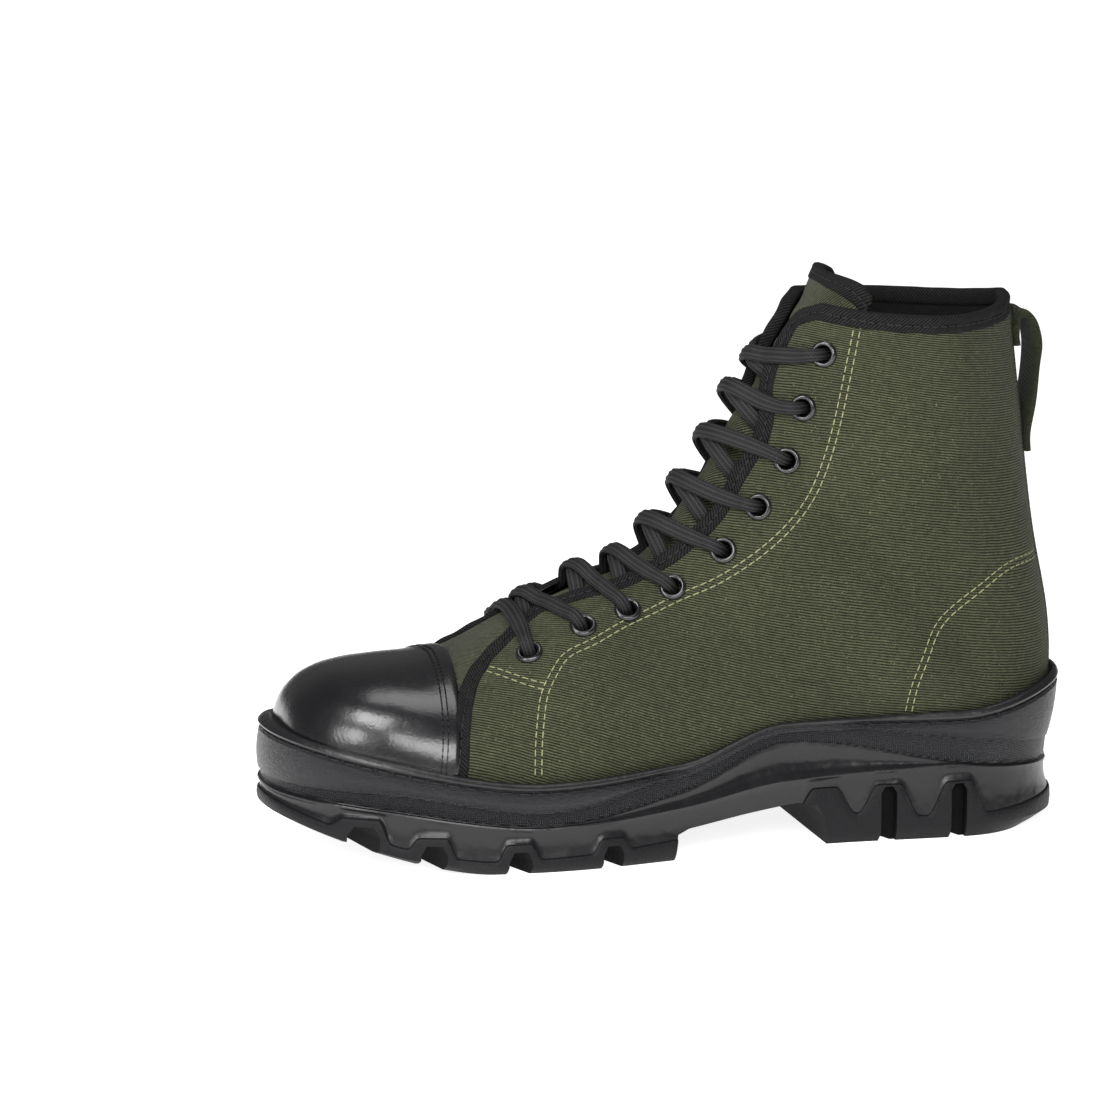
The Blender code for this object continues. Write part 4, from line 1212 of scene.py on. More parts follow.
def build_back(skin, canvas):
    """Strip of canvas down the back seam."""
    heap = Heap()
    rows, columns = int(160 * FINE), 29
    k = np.linspace(1.02, 1.985, rows)[:, None]
    away = np.linspace(-STRIP_HALF, STRIP_HALF, columns)[None, :]
    side = np.where(away >= 0, OUTER, INNER)
    total = np.array([[skin.arc_total(float(kk), s) for s in SIDES] for kk in k[:, 0]])
    reach = np.where(side > 0, total[:, :1], total[:, 1:])
    arc = side * (reach - np.abs(away))
    w = skin.w_at(k + 0 * arc, arc)
    high = 0.0022 - 0.0009 * smooth(0.002, 0.0085, np.abs(away))
    high = high - 0.0011 * smooth(0.0090, STRIP_HALF, np.abs(away))
    station = np.broadcast_to(k, w.shape)
    uv = np.stack(((away + k * 0.16) / math.sqrt(2), (k * 0.16 - away) / math.sqrt(2)), -1)
    heap.grid(skin.at(station, w, np.broadcast_to(high, w.shape)), uv, 0)
    heap.make("back_strip", [canvas], "upper_canvas")


LOOP_HALF = 0.0100
LOOP_SIDES = 32


def build_scene_loop(canvas):
    heap = Heap()
    steps = int(120 * FINE)
    shares = np.linspace(0, 1, steps)
    centres = np.array([loop_centre(s) for s in shares])
    ahead = unit(np.gradient(centres, axis=0))
    out = np.stack((ahead[:, 2], 0 * ahead[:, 0], -ahead[:, 0]), 1)
    turns = np.linspace(0, 2 * math.pi, LOOP_SIDES, endpoint=False)
    wide = np.sign(np.cos(turns)) * np.abs(np.cos(turns)) ** 0.35
    high = np.sign(np.sin(turns)) * np.abs(np.sin(turns)) ** 0.8
    rings, uvs = [], []
    run = path_run(centres)
    around = np.linspace(0, 2 * (LOOP_WIDTH + LOOP_THICKNESS), LOOP_SIDES + 1)
    for spot, n, s, r in zip(centres, out, shares, run):
        thick = LOOP_THICKNESS * (0.62 + 0.10 * math.sin(s * 17) * math.sin(math.pi * s))
        cup = 0.0011 * (wide**2 - 0.5) * math.sin(math.pi * min(1.0, s * 1.1)) ** 2
        half = LOOP_HALF * (1 - 0.10 * math.exp(-(((s - 0.16) / 0.10) ** 2)))
        pucker = 0.00035 * np.sin(r * 900 + wide * 3) * math.exp(-(((s - 0.18) / 0.14) ** 2))
        ring = spot + np.outer(wide * half, (0, 1, 0)) + np.outer(high * (thick + pucker) + cup, n)
        rings.append(ring)
        uvs.append(np.stack(((around + r) / math.sqrt(2), (r - around) / math.sqrt(2)), -1))
    heap.grid(rings, np.array(uvs), 0, wrap=True)
    for ring in (rings[0], rings[-1]):
        heap.grid([ring, np.repeat(ring.mean(0)[None], LOOP_SIDES, 0)], None, 0, wrap=True)
    heap.make("pull_loop_canvas", [canvas], "loop_canvas", ["pull_loop"])


# Turned section of an eyelet: radius and height over the cloth, in millimetres.
EYELET_SECTION = (
    (2.95, -3.4),
    (3.05, -1.0),
    (3.10, 0.6),
    (3.22, 1.15),
    (3.52, 1.50),
    (3.95, 1.62),
    (4.40, 1.50),
    (4.80, 1.12),
    (5.02, 0.70),
    (5.06, 0.20),
)


EYELET_SIDES = 40


def build_scene_eyelets(eyes, metal):
    heap = Heap()
    turns = np.linspace(0, 2 * math.pi, EYELET_SIDES, endpoint=False)
    for _, spot, ahead, across, up in eyes:
        rings = []
        for radius, height in EYELET_SECTION:
            circle = np.cos(turns)[:, None] * ahead + np.sin(turns)[:, None] * across
            rings.append(spot + radius * 1e-3 * circle + (height * 1e-3 + QUARTER_LIFT) * up)
        heap.grid(rings, wrap=True, flip=True)
    heap.make("eyelets_metal", [metal], "eyelet_metal", [name for name, *_ in eyes])


# The lace's width and thickness where it lies flat and where it is squeezed.
LACE_FLAT = np.array((0.0058, 0.0027))
LACE_TIGHT = np.array((0.0047, 0.0037))
LACE_SIDES = 40
LACE_RIBS = 10
LACE_ROUND = 0.012


def round_curve(points, count):
    """Evenly spaced points on a smooth curve through the given ones."""
    points = np.array(points, float)
    run = path_run(points)
    table = Table("x y z", [(s, *p) for s, p in zip(run, points)])
    dense = np.array([[*table(s).values()] for s in np.linspace(0, run[-1], count * 3)])
    run = path_run(dense)
    stops = np.linspace(0, run[-1], count)
    return np.stack([np.interp(stops, run, dense[:, c]) for c in range(3)], 1), stops


def lace_tube(heap, points, run, ups, tight):
    """Knitted lace along a path; tight is 1 where it's squeezed round, 0 where it lies flat."""
    ahead = unit(np.gradient(points, axis=0))
    across = unit(np.cross(ahead, ups))
    up = unit(np.cross(across, ahead))
    turns = np.linspace(0, 2 * math.pi, LACE_SIDES, endpoint=False)
    flat_x = np.sign(np.cos(turns)) * np.abs(np.cos(turns)) ** 0.85
    ribs = np.cos(LACE_RIBS * turns)
    rings = []
    for spot, c, n, part in zip(points, across, up, tight):
        half, thick = ((1 - part) * LACE_FLAT + part * LACE_TIGHT) / 2
        wide, high = flat_x * half * (1 + 0.06 * ribs), np.sin(turns) * thick * (1 + 0.13 * ribs)
        rings.append(spot + np.outer(wide, c) + np.outer(high, n))
    around = np.linspace(0, LACE_ROUND, LACE_SIDES + 1)
    uv = np.stack(np.broadcast_arrays(np.array(run)[:, None], around[None, :]), -1)
    heap.grid(rings, uv, 0, wrap=True, flip=True)


def eye_rows(a):
    """Arc and lift of the lace where it comes up through an eyelet."""
    return [(a - 0.0002, -0.0040), (a - 0.0007, -0.0012), (a - 0.0016, 0.0014), (a - 0.0037, 0.0034)]


def strand(skin, upper, lower, side, top):
    """Control points of a strand from inside an eyelet to under the other facing."""
    (k_a, reach_a), (k_b, reach_b) = upper, lower
    a, b = reach_a * BALL_WIDTH, reach_b * BALL_WIDTH
    station = lambda arc: k_a + (k_b - k_a) * (1 - ((b + arc) / (a + b)) ** 2)
    near, far = edge_arc(station(0.014)), edge_arc(station(-0.014))
    opened = float(smooth(EDGE_START, EDGE_OPEN, station(-far)))
    under = -0.0039 * opened - 0.0010 * (1 - opened)
    rows = eye_rows(a) + [
        (a - 0.0066, 0.0031),
        (near + 0.0030, 0.0030),
        (near - 0.0010, 0.0031),
        (near * 0.45, top * 0.96),
        (0.0, top),
        (-far * 0.42, top * 0.72),
        (-far + 0.0022, under * 0.45 + 0.0006),
        (-far - 0.0020, under),
        (-far - 0.0070, under - 0.0002),
    ]
    arcs = [arc for arc, _ in rows]
    keep = [0] + [i for i in range(1, len(rows)) if arcs[i] < min(arcs[:i]) - 0.0004]
    spots = []
    for arc, lift in (rows[i] for i in keep):
        k = station(arc)
        w = skin.w_at(k, side * arc)
        spots.append(skin.at(k, w, lift).reshape(3))
    return spots


# Height of the strands where they cross: the outer side's lie over the inner side's.
LACE_TOPS = ((OUTER, 0.0056), (INNER, 0.0032))


def build_scene_lace(skin, cord):
    heap = Heap()
    count = int(84 * FINE)
    names = ["lace_bar"] + [f"lace_cross_{i + 1}" for i in range(len(EYELETS) - 1)]
    for i, (lower, upper) in enumerate(zip(EYELETS, EYELETS[1:])):
        lean = 0.0006 * math.sin(i * 2.3)
        for side, top in LACE_TOPS:
            points, run = round_curve(strand(skin, upper, lower, side, top + lean), count)
            ups = skin_normals(skin, points)
            share = run / run[-1]
            tight = 1 - smooth(0.10, 0.30, share) + 0.5 * smooth(0.9, 1.0, share)
            lace_tube(heap, points, run + i * 0.07, ups, tight)
    k, reach = EYELETS[0]
    a = reach * BALL_WIDTH
    half = eye_rows(a) + [(a - 0.0070, 0.0030), (0.017, 0.0029), (0.006, 0.0030)]
    rows = half + [(-arc, lift) for arc, lift in half[::-1]]
    spots = [skin.at(k, skin.w_at(k, arc), lift).reshape(3) for arc, lift in rows]
    points, run = round_curve(spots, count + 20)
    share = run / run[-1]
    tight = 1 - smooth(0.10, 0.25, share) + smooth(0.75, 0.90, share)
    lace_tube(heap, points, run, skin_normals(skin, points), tight)
    heap.make("lace_cord", [cord], "lace_cord", names)


def skin_normals(skin, points):
    found = [np.array(skin.tree.find_nearest(Vector(p))[1]) for p in points]
    normals = -unit(np.array(found))
    for _ in range(4):
        normals[1:-1] = unit(normals[:-2] + 2 * normals[1:-1] + normals[2:])
    return normals


# Height of the tread border's top line over the tread, as it runs round the sole.
TREAD_LINE = Table(
    "height",
    tuple(zip(PLACES, (0.0048, 0.0052, 0.0056, 0.0085, 0.0130, 0.0090, 0.0128))),
    level=True,
)


def lug_line(x, y, share):
    """Height of the tread border's line, which climbs over the notches and pockets."""
    height = spring_height(x) + TREAD_LINE(share)["height"]
    for place_x in NOTCH_PLACES:
        half, _ = outline_half((place_x + HEEL_SEAT) / LAST_LENGTH)
        cut_x = place_x + math.tan(GROOVE_SLANT) * (half + SOLE_EDGE - abs(y))
        top = spring_height(place_x) + NOTCH_DEPTH + 0.0030
        over = float(smooth(0.98 * NOTCH_WIDTH, 0.52 * NOTCH_WIDTH, abs(x - cut_x)))
        over *= float(smooth(0.252, 0.243, x))
        height += max(0.0, top - height) * over
    for place_x in HEEL_GROOVES + (HEEL_FRONT + 0.001,):
        over = float(smooth(2.2 * HEEL_GROOVE_WIDTH, 0.75 * HEEL_GROOVE_WIDTH, abs(x - place_x)))
        height += max(0.0, HEEL_GROOVE_HEIGHT + 0.0010 - height) * over
    return height


def waist(x):
    """1 in the waist, where the lip's groove has run out."""
    return float(smooth(0.036, 0.054, x) * smooth(0.126, 0.108, x))


# The last zone holds the faces inside the notches and pockets, which take a darker rubber: painted shade in
# the recesses.
SOLE_LIP, SOLE_WALL, SOLE_BAND, SOLE_LOW, SOLE_TREAD, SOLE_SHADED_CUT = range(6)
LIP_THIN = 0.25


def fine_column(tree, station, side):
    """Points down the sole's outside from the lip, with the zone of each stretch."""
    spot, normal = edge_frame(station, side)
    share = share_at(station)
    x = spot[0]
    heights, offsets = HEIGHTS(share), OFFSETS(share)
    base = floor_height(share) - CLEARANCE
    high = {name: value * RIM_HEIGHT for name, value in heights.items()}
    flat = waist(x)

    def out_at(name):
        out = offsets[name] * SOLE_EDGE
        if high[name] > base:
            out = max(out, cup_reach(tree, spot, normal, high[name], CUP_GAP) + SOLE_SKIN)
        return out

    lip = high["lip_top"]
    rows = [(CUP_GAP, base, SOLE_LIP)]
    for part in (0.3, 0.6, 0.8, 1.0):
        height = base + (lip - LIP_CROWN - base) * part
        rows.append((cup_reach(tree, spot, normal, height, CUP_GAP), height, SOLE_LIP))
    inside = cup_reach(tree, spot, normal, lip, CUP_GAP)
    bead = out_at("lip_low")
    low = high["lip_low"] + LIP_THIN * (lip - high["lip_low"])
    rise = lip - low
    for part, up in ((0.10, 0.45), (0.28, 0.78), (0.52, 1.0), (0.74, 0.93), (0.90, 0.62), (0.99, 0.25)):
        out = inside + 0.0002 + (bead + 0.0004 - inside) * part
        rows.append((out, low + rise * up, SOLE_LIP))
    groove = 0.0011 * (1 - flat)
    rows.append((bead + 0.0003, low - 0.0002, SOLE_LIP))
    rows.append((bead - 0.0001 - 0.3 * groove, low - 0.0008, SOLE_LIP))
    rows.append((bead - groove, low - 0.0012, SOLE_WALL))
    rows.append((bead - 0.8 * groove, low - 0.0018, SOLE_WALL))
    rows.append((bead + 0.0002, low - 0.0025, SOLE_WALL))
    top_band, out_band = high["band_top"], out_at("band_top")
    start = low - 0.0025
    bottom = min(top_band, start - 0.0008)
    for part in np.linspace(0, 1, 9)[1:-1]:
        bulge = 0.0006 * math.sin(math.pi * part) * (1 - flat)
        out = bead + 0.0002 + (out_band - bead) * part + bulge
        rows.append((out, start + (bottom - start) * part, SOLE_WALL))
    rows.append((out_band + 0.0001, bottom, SOLE_WALL))
    band_low, out_low = min(high["band_low"], bottom - 0.0012), out_at("band_low")
    for part in (0.06, 0.16, 0.5, 0.84, 0.96):
        out = out_band + (out_low - out_band) * part - 0.0004
        rows.append((out, bottom + (band_low - bottom) * part, SOLE_BAND))
    ridge, out_ridge = min(high["ridge"], band_low - 0.0008), out_at("ridge")
    room = band_low - ridge
    hollow = 0.0006 + 0.20 * max(0.0, room - 0.0012)
    rows.append((out_low - 0.0001, band_low, SOLE_BAND))
    for part in (0.12, 0.35, 0.65, 0.88):
        sink = hollow * math.sin(math.pi * part) ** 0.8
        rows.append((out_low + (out_ridge - out_low) * part - sink, band_low - room * part, SOLE_LOW))
    rows.append((out_ridge + 0.0003, ridge, SOLE_LOW))
    rows.append((out_ridge + 0.0005, ridge - 0.0005, SOLE_LOW))
    rows.append((out_ridge + 0.0002, ridge - 0.0011, SOLE_LOW))
    wall = spot + normal * offsets["tread_edge"] * SOLE_EDGE
    line = lug_line(wall[0], wall[1], share)
    line = min(line, ridge - 0.0025)
    out_tread = offsets["tread_edge"] * SOLE_EDGE
    begin = ridge - 0.0011
    for part in np.linspace(0, 1, 10)[1:-1]:
        height = begin + (line - begin) * part
        curve = 4 * part * (1 - part)
        out = out_ridge + (out_tread - out_ridge) * part
        rows.append((out - 0.0007 * curve, height, SOLE_LOW))
    rows.append((out_tread - 0.0001, line, SOLE_LOW))
    rows.append((out_tread + 0.0007, line - 0.0004, SOLE_TREAD))
    rows.append((out_tread + 0.0010, line - 0.0012, SOLE_TREAD))
    tread = offsets["tread"] * SOLE_EDGE
    ground = spring_height(length_x(share) + normal[0] * tread)
    edge_height = min(max(high["tread_edge"] * 0.55, ground + 0.0016), line - 0.0018)
    rows.append((out_tread + 0.0011, (line - 0.0012 + edge_height) / 2, SOLE_TREAD))
    rows.append((out_tread + 0.0008, edge_height, SOLE_TREAD))
    rows.append(((out_tread + tread) / 2 + 0.0006, (edge_height + ground) / 2 - 0.0002, SOLE_TREAD))
    rows.append((tread, ground, SOLE_TREAD))
    points = [np.array((*(spot + normal * out), height)) for out, height, _ in rows]
    return points, [zone for _, _, zone in rows]


def join_bodies(bodies):
    """One mesh of several capped bodies, wound outwards."""
    bm = bmesh.new()
    for rings in bodies:
        made = [[bm.verts.new(p) for p in ring] for ring in rings]
        count = len(made[0])
        for i in range(count):
            j = (i + 1) % count
            bm.faces.new((made[0][i], made[0][j], made[1][j], made[1][i]))
        bm.faces.new(made[0])
        bm.faces.new(made[1])
    bmesh.ops.recalc_face_normals(bm, faces=bm.faces)
    mesh = bpy.data.meshes.new("cutter")
    bm.to_mesh(mesh)
    bm.free()
    return mesh


# Row of the sole's outside that lies in the lip's groove.
SEWN_ROW = 14
LIP_PITCH, LIP_THREAD, LIP_GAP = 0.0066, 0.00055, 0.0020
SHARP_EDGE = math.radians(38)


def build_scene_sole(skin, looks, thread):
    count = int(340 * FINE)
    stations = np.linspace(1, 0, count + 1)
    tree = skin.tree
    outer = [fine_column(tree, k, OUTER) for k in stations]
    inner = [fine_column(tree, k, INNER) for k in stations[::-1][1:-1]]
    columns = np.array([points for points, _ in outer + inner])
    zones = np.array(outer[0][1])
    grid = columns.transpose(1, 0, 2)
    run = path_run(np.concatenate((grid[8], grid[8][:1])))
    height = np.concatenate((grid[..., 2], grid[:, :1, 2]), axis=1)
    uv = np.stack((np.broadcast_to(run[None, :], height.shape), height), -1)
    heap = Heap()
    heap.grid(grid, uv, zones[1:, None], wrap=True)
    for row, zone in ((0, SOLE_LIP), (len(grid) - 1, SOLE_TREAD)):
        left = columns[: count + 1, row]
        right = np.concatenate((left[:1], columns[:count:-1, row], left[-1:]))
        part = np.linspace(0, 1, 9)[None, :, None]
        across = left[:, None] * (1 - part) + right[:, None] * part
        heap.grid(across, across[..., :2], zone)
    body = heap.make("sole_rubber", looks, "sole_rubber", ["sole"], weld=True)
    for name, bodies in (("notch", tread_cutters()), ("pocket", pocket_cutters())):
        mesh = join_bodies(bodies)
        # The cut faces take the darker rubber: painted shade inside the notches and pockets.
        mesh.materials.append(looks[SOLE_SHADED_CUT])
        tool = bpy.data.objects.new(name, mesh)
        bpy.context.scene.collection.objects.link(tool)
        cut = body.modifiers.new(name, "BOOLEAN")
        cut.operation = "DIFFERENCE"
        cut.solver = "EXACT"
        cut.material_mode = "TRANSFER"
        cut.object = tool
    settled = bpy.data.meshes.new_from_object(body.evaluated_get(bpy.context.evaluated_depsgraph_get()))
    body.modifiers.clear()
    body.data = settled
    settled.polygons.foreach_set("use_smooth", np.ones(len(settled.polygons), bool))
    settled.set_sharp_from_angle(angle=SHARP_EDGE)
    for name in ("notch", "pocket"):
        bpy.data.objects.remove(bpy.data.objects[name], do_unlink=True)
    sewn = Heap()
    line = np.concatenate((grid[SEWN_ROW], grid[SEWN_ROW][:1]))
    middle = np.stack((np.clip(line[:, 0], -0.01, 0.18), 0 * line[:, 0], line[:, 2]), 1)
    outwards = unit(line - middle)
    keep = np.array([waist(p[0]) < 0.5 for p in line])
    starts = [i for i in range(len(line)) if keep[i] and not keep[i - 1]]
    for start in starts:
        stop = start
        while keep[stop % len(line)] and stop < start + len(line):
            stop += 1
        pick = [i % (len(line) - 1) for i in range(start, stop)]
        if len(pick) > 12:
            stitches(sewn, line[pick], outwards[pick], LIP_PITCH, LIP_THREAD, 0, 0, -0.00005, gap=LIP_GAP)
    sewn.make("lip_stitches", [thread], "sole_rubber")
    return body


def new_material(name):
    """A new material, its node tree and its shader."""
    made = bpy.data.materials.new(name)
    made.use_nodes = True
    shader = next(n for n in made.node_tree.nodes if n.type == "BSDF_PRINCIPLED")
    return made, made.node_tree, shader


def node(tree, kind, inputs, out=0, **settings):
    """Add a node, set or link its inputs, and return one of its outputs."""
    made = tree.nodes.new(kind)
    for key, value in settings.items():
        setattr(made, key, value)
    for key, value in inputs.items():
        socket = made.inputs[key]
        if isinstance(value, bpy.types.NodeSocket):
            tree.links.new(value, socket)
        else:
            socket.default_value = value
    return made.outputs[out]


def maths(tree, operation, a, b=0.0, clamp=False):
    return node(tree, "ShaderNodeMath", {0: a, 1: b}, operation=operation, use_clamp=clamp)


def blend_colour(tree, factor, a, b):
    made = tree.nodes.new("ShaderNodeMix")
    made.data_type = "RGBA"
    for socket, value in ((made.inputs[0], factor), (made.inputs[6], a), (made.inputs[7], b)):
        if isinstance(value, bpy.types.NodeSocket):
            tree.links.new(value, socket)
        else:
            socket.default_value = value
    return made.outputs[2]


def rgba(colour):
    return (*colour, 1.0)


def noise(tree, vector, scale, detail=2.0, rough=0.5):
    inputs = {"Vector": vector, "Scale": scale, "Detail": detail, "Roughness": rough}
    return node(tree, "ShaderNodeTexNoise", inputs)


def cloth_uv(tree):
    """The cloth map's two coordinates."""
    uv = node(tree, "ShaderNodeUVMap", {}, uv_map="cloth")
    parts = tree.nodes.new("ShaderNodeSeparateXYZ")
    tree.links.new(uv, parts.inputs[0])
    return parts.outputs[0], parts.outputs[1]


def place_of(tree):
    return node(tree, "ShaderNodeTexCoord", {}, out=3)


TWILL_DEPTH, TWILL_ROUGHNESS = 0.00016, 0.9
YARN_PITCH = 0.42


def twill(name, dark, light, pitch, mottle=0.25, specks=0.35, sheen=0.05):
    """Ribbed cloth: ribs along the map's first coordinate, yarns across them."""
    made, tree, shader = new_material(name)
    along, across = cloth_uv(tree)
    spot = place_of(tree)
    waver = noise(tree, spot, 260.0, 2.0)
    q = maths(tree, "ADD", across, maths(tree, "MULTIPLY", maths(tree, "SUBTRACT", waver, 0.5), pitch * 0.55))
    phase = maths(tree, "MULTIPLY", q, 2 * math.pi / pitch)
    rib = maths(tree, "MULTIPLY_ADD", maths(tree, "SINE", phase), 0.5)
    rib.node.inputs[2].default_value = 0.5
    yarn_phase = maths(tree, "ADD", maths(tree, "MULTIPLY", along, 2 * math.pi / (pitch * YARN_PITCH)), phase)
    yarn = maths(tree, "MULTIPLY_ADD", maths(tree, "SINE", yarn_phase), 0.5)
    yarn.node.inputs[2].default_value = 0.5
    fuzz = noise(tree, spot, 2600.0, 2.0, 0.6)
    shape = maths(tree, "MULTIPLY", rib, maths(tree, "ADD", maths(tree, "MULTIPLY", yarn, 0.30), 0.70))
    shape = maths(tree, "ADD", shape, maths(tree, "MULTIPLY", maths(tree, "SUBTRACT", fuzz, 0.5), 0.95))
    # The colour runs from dark to light with the ribs' and yarns' height, as the bump does: painted shade in
    # the troughs and painted highlight on the crests, with random fibre fuzz mixed in.
    shaded_tone = maths(tree, "ADD", maths(tree, "MULTIPLY", shape, 1.15), -0.10, clamp=True)
    colour = blend_colour(tree, shaded_tone, rgba(dark), rgba(light))
    wear = noise(tree, spot, 22.0, 3.0)
    factor = maths(tree, "MULTIPLY_ADD", maths(tree, "SUBTRACT", wear, 0.5), mottle * 2)
    factor.node.inputs[2].default_value = 1.0
    fine = noise(tree, spot, 420.0, 2.0, 0.7)
    spread = maths(tree, "MULTIPLY", maths(tree, "SUBTRACT", fine, 0.5), 1.1)
    factor = maths(tree, "MULTIPLY", factor, maths(tree, "ADD", spread, 1.0))
    scaled = node(tree, "ShaderNodeVectorMath", {0: colour, "Scale": factor}, operation="SCALE")
    lint = maths(tree, "GREATER_THAN", noise(tree, spot, 1500.0, 0.0), 0.80)
    pale = tuple(min(1.0, c * 2.6 + 0.02) for c in light)
    colour = blend_colour(tree, maths(tree, "MULTIPLY", lint, specks), scaled, rgba(pale))
    tree.links.new(colour, shader.inputs["Base Color"])
    shader.inputs["Roughness"].default_value = TWILL_ROUGHNESS
    shader.inputs["Specular IOR Level"].default_value = 0.15
    shader.inputs["Sheen Weight"].default_value = sheen
    shader.inputs["Sheen Roughness"].default_value = 0.5
    bump = node(tree, "ShaderNodeBump", {"Strength": 1.0, "Distance": TWILL_DEPTH, "Height": shape})
    tree.links.new(bump, shader.inputs["Normal"])
    return made


def plain(name, colour, rough, coat=0.0, bumps=(), specular=0.5, coat_rough=0.1, vary=0.0):
    """Smooth or grained material; bumps are (noise scale, detail, depth)."""
    made, tree, shader = new_material(name)
    spot = place_of(tree)
    shader.inputs["Base Color"].default_value = rgba(colour)
    shader.inputs["Coat Weight"].default_value = coat
    shader.inputs["Coat Roughness"].default_value = coat_rough
    shader.inputs["Specular IOR Level"].default_value = specular
    shader.inputs["Roughness"].default_value = rough
    if vary:
        patch = noise(tree, spot, 45.0, 4.0, 0.6)
        spread = maths(tree, "MULTIPLY_ADD", maths(tree, "SUBTRACT", patch, 0.5), vary)
        spread.node.inputs[2].default_value = rough
        tree.links.new(spread, shader.inputs["Roughness"])
    before = None
    for scale, detail, depth in bumps:
        inputs = {"Strength": 1.0, "Distance": depth, "Height": noise(tree, spot, scale, detail, 0.6)}
        if before is not None:
            inputs["Normal"] = before
        before = node(tree, "ShaderNodeBump", inputs)
    if before is not None:
        tree.links.new(before, shader.inputs["Normal"])
        tree.links.new(before, shader.inputs["Coat Normal"])
    return made


def grained(name, colour, rough):
    """Rubber moulded with a leather grain of creased cells."""
    made, tree, shader = new_material(name)
    spot = place_of(tree)
    stretched = node(tree, "ShaderNodeMapping", {"Vector": spot, "Scale": (1.0, 1.0, 2.6)})
    folds = noise(tree, stretched, 380.0, 5.0, 0.75)
    shader.inputs["Base Color"].default_value = rgba(colour)
    shader.inputs["Roughness"].default_value = rough
    bump = node(tree, "ShaderNodeBump", {"Strength": 1.0, "Distance": 0.0040, "Height": folds})
    tree.links.new(bump, shader.inputs["Normal"])
    return made


KNURL_PITCH = 0.00165


def knurled(name, colour, rough):
    """Rubber moulded with small raised diamonds."""
    made, tree, shader = new_material(name)
    along, across = cloth_uv(tree)
    wave = 2 * math.pi / KNURL_PITCH
    tall = maths(tree, "MULTIPLY", across, 1.25)
    one = maths(tree, "SINE", maths(tree, "MULTIPLY", maths(tree, "ADD", along, tall), wave))
    two = maths(tree, "SINE", maths(tree, "MULTIPLY", maths(tree, "SUBTRACT", along, tall), wave))
    shape = maths(tree, "MULTIPLY", one, two)
    shader.inputs["Base Color"].default_value = rgba(colour)
    shader.inputs["Roughness"].default_value = rough
    bump = node(tree, "ShaderNodeBump", {"Strength": 1.0, "Distance": 0.00090, "Height": shape})
    tree.links.new(bump, shader.inputs["Normal"])
    return made


BRAID_PITCH = 0.0011


def braid(name, dark, light):
    """Knitted lace: fine stitches in rows that run along it."""
    made, tree, shader = new_material(name)
    along, across = cloth_uv(tree)
    spot = place_of(tree)
    wave = 2 * math.pi
    stitch = wave / BRAID_PITCH
    one = maths(tree, "SINE", maths(tree, "MULTIPLY", maths(tree, "ADD", along, across), stitch))
    two = maths(tree, "SINE", maths(tree, "MULTIPLY", maths(tree, "SUBTRACT", along, across), stitch))
    knit = maths(tree, "MULTIPLY_ADD", maths(tree, "MAXIMUM", one, two), 0.5)
    knit.node.inputs[2].default_value = 0.5
    fuzz = noise(tree, spot, 2200.0, 2.0, 0.6)
    shape = maths(tree, "ADD", knit, maths(tree, "MULTIPLY", fuzz, 0.5))
    # Bands round the lace, darker between its ribs and lighter on them: painted shade in the grooves and
    # painted highlight along the ribs. The knit's colour follows its relief the same way.
    rib = maths(tree, "COSINE", maths(tree, "MULTIPLY", across, wave * LACE_RIBS / LACE_ROUND))
    rib = maths(tree, "MULTIPLY_ADD", rib, 0.42)
    rib.node.inputs[2].default_value = 0.50
    shaded_tone = maths(tree, "MULTIPLY", maths(tree, "MULTIPLY", shape, rib), 0.85, clamp=True)
    colour = blend_colour(tree, shaded_tone, rgba(dark), rgba(light))
    tree.links.new(colour, shader.inputs["Base Color"])
    shader.inputs["Roughness"].default_value = 0.7
    shader.inputs["Specular IOR Level"].default_value = 0.3
    bump = node(tree, "ShaderNodeBump", {"Strength": 1.0, "Distance": 0.00010, "Height": shape})
    tree.links.new(bump, shader.inputs["Normal"])
    return made


def soft_box(name, place_at, aim, size, power):
    lamp = bpy.data.lights.new(name, "AREA")
    lamp.shape = "RECTANGLE"
    lamp.size, lamp.size_y = size
    lamp.energy = power
    made = bpy.data.objects.new(name, lamp)
    bpy.context.scene.collection.objects.link(made)
    made.location = place_at
    made.rotation_euler = (Vector(aim) - Vector(place_at)).to_track_quat("-Z", "Y").to_euler()
    return made


def set_stage():
    bpy.ops.mesh.primitive_plane_add(size=1)
    floor = bpy.context.object
    floor.name = "floor"
    floor.scale = (30, 30, 1)
    look, _, shader = new_material("pale_floor")
    shader.inputs["Base Color"].default_value = (0.80, 0.80, 0.80, 1)
    shader.inputs["Roughness"].default_value = 0.8
    shader.inputs["Specular IOR Level"].default_value = 0.1
    shader.inputs["Emission Color"].default_value = (1.0, 1.0, 1.0, 1)
    shader.inputs["Emission Strength"].default_value = 0.86
    floor.data.materials.append(look)
    world = bpy.data.worlds.new("studio")
    world.use_nodes = True
    ground = next(n for n in world.node_tree.nodes if n.type == "BACKGROUND")
    ground.inputs[0].default_value = (1.0, 1.0, 1.0, 1)
    ground.inputs[1].default_value = 0.13
    bpy.context.scene.world = world
    soft_box("key", (0.30, 1.35, 0.75), (0.08, 0, 0.09), (1.1, 0.55), 17)
    soft_box("front", (1.3, 0.75, 0.55), (0.18, 0, 0.05), (0.45, 0.45), 7)
    soft_box("panel", (0.78, 0.50, 1.05), (0.20, 0, 0.06), (0.50, 0.50), 9)
    soft_box("top", (0.0, -0.1, 1.5), (0.08, 0, 0.05), (0.9, 0.6), 5)
    scene = bpy.context.scene
    scene.view_settings.view_transform = "Standard"
    scene.view_settings.look = "None"


CAMERA_AZIMUTH, CAMERA_HEIGHT = math.radians(14), math.radians(11)
CAMERA_AWAY, CAMERA_LENS = 3.0, 259.7
CAMERA_SHIFT = (-0.14612, 0.10019)


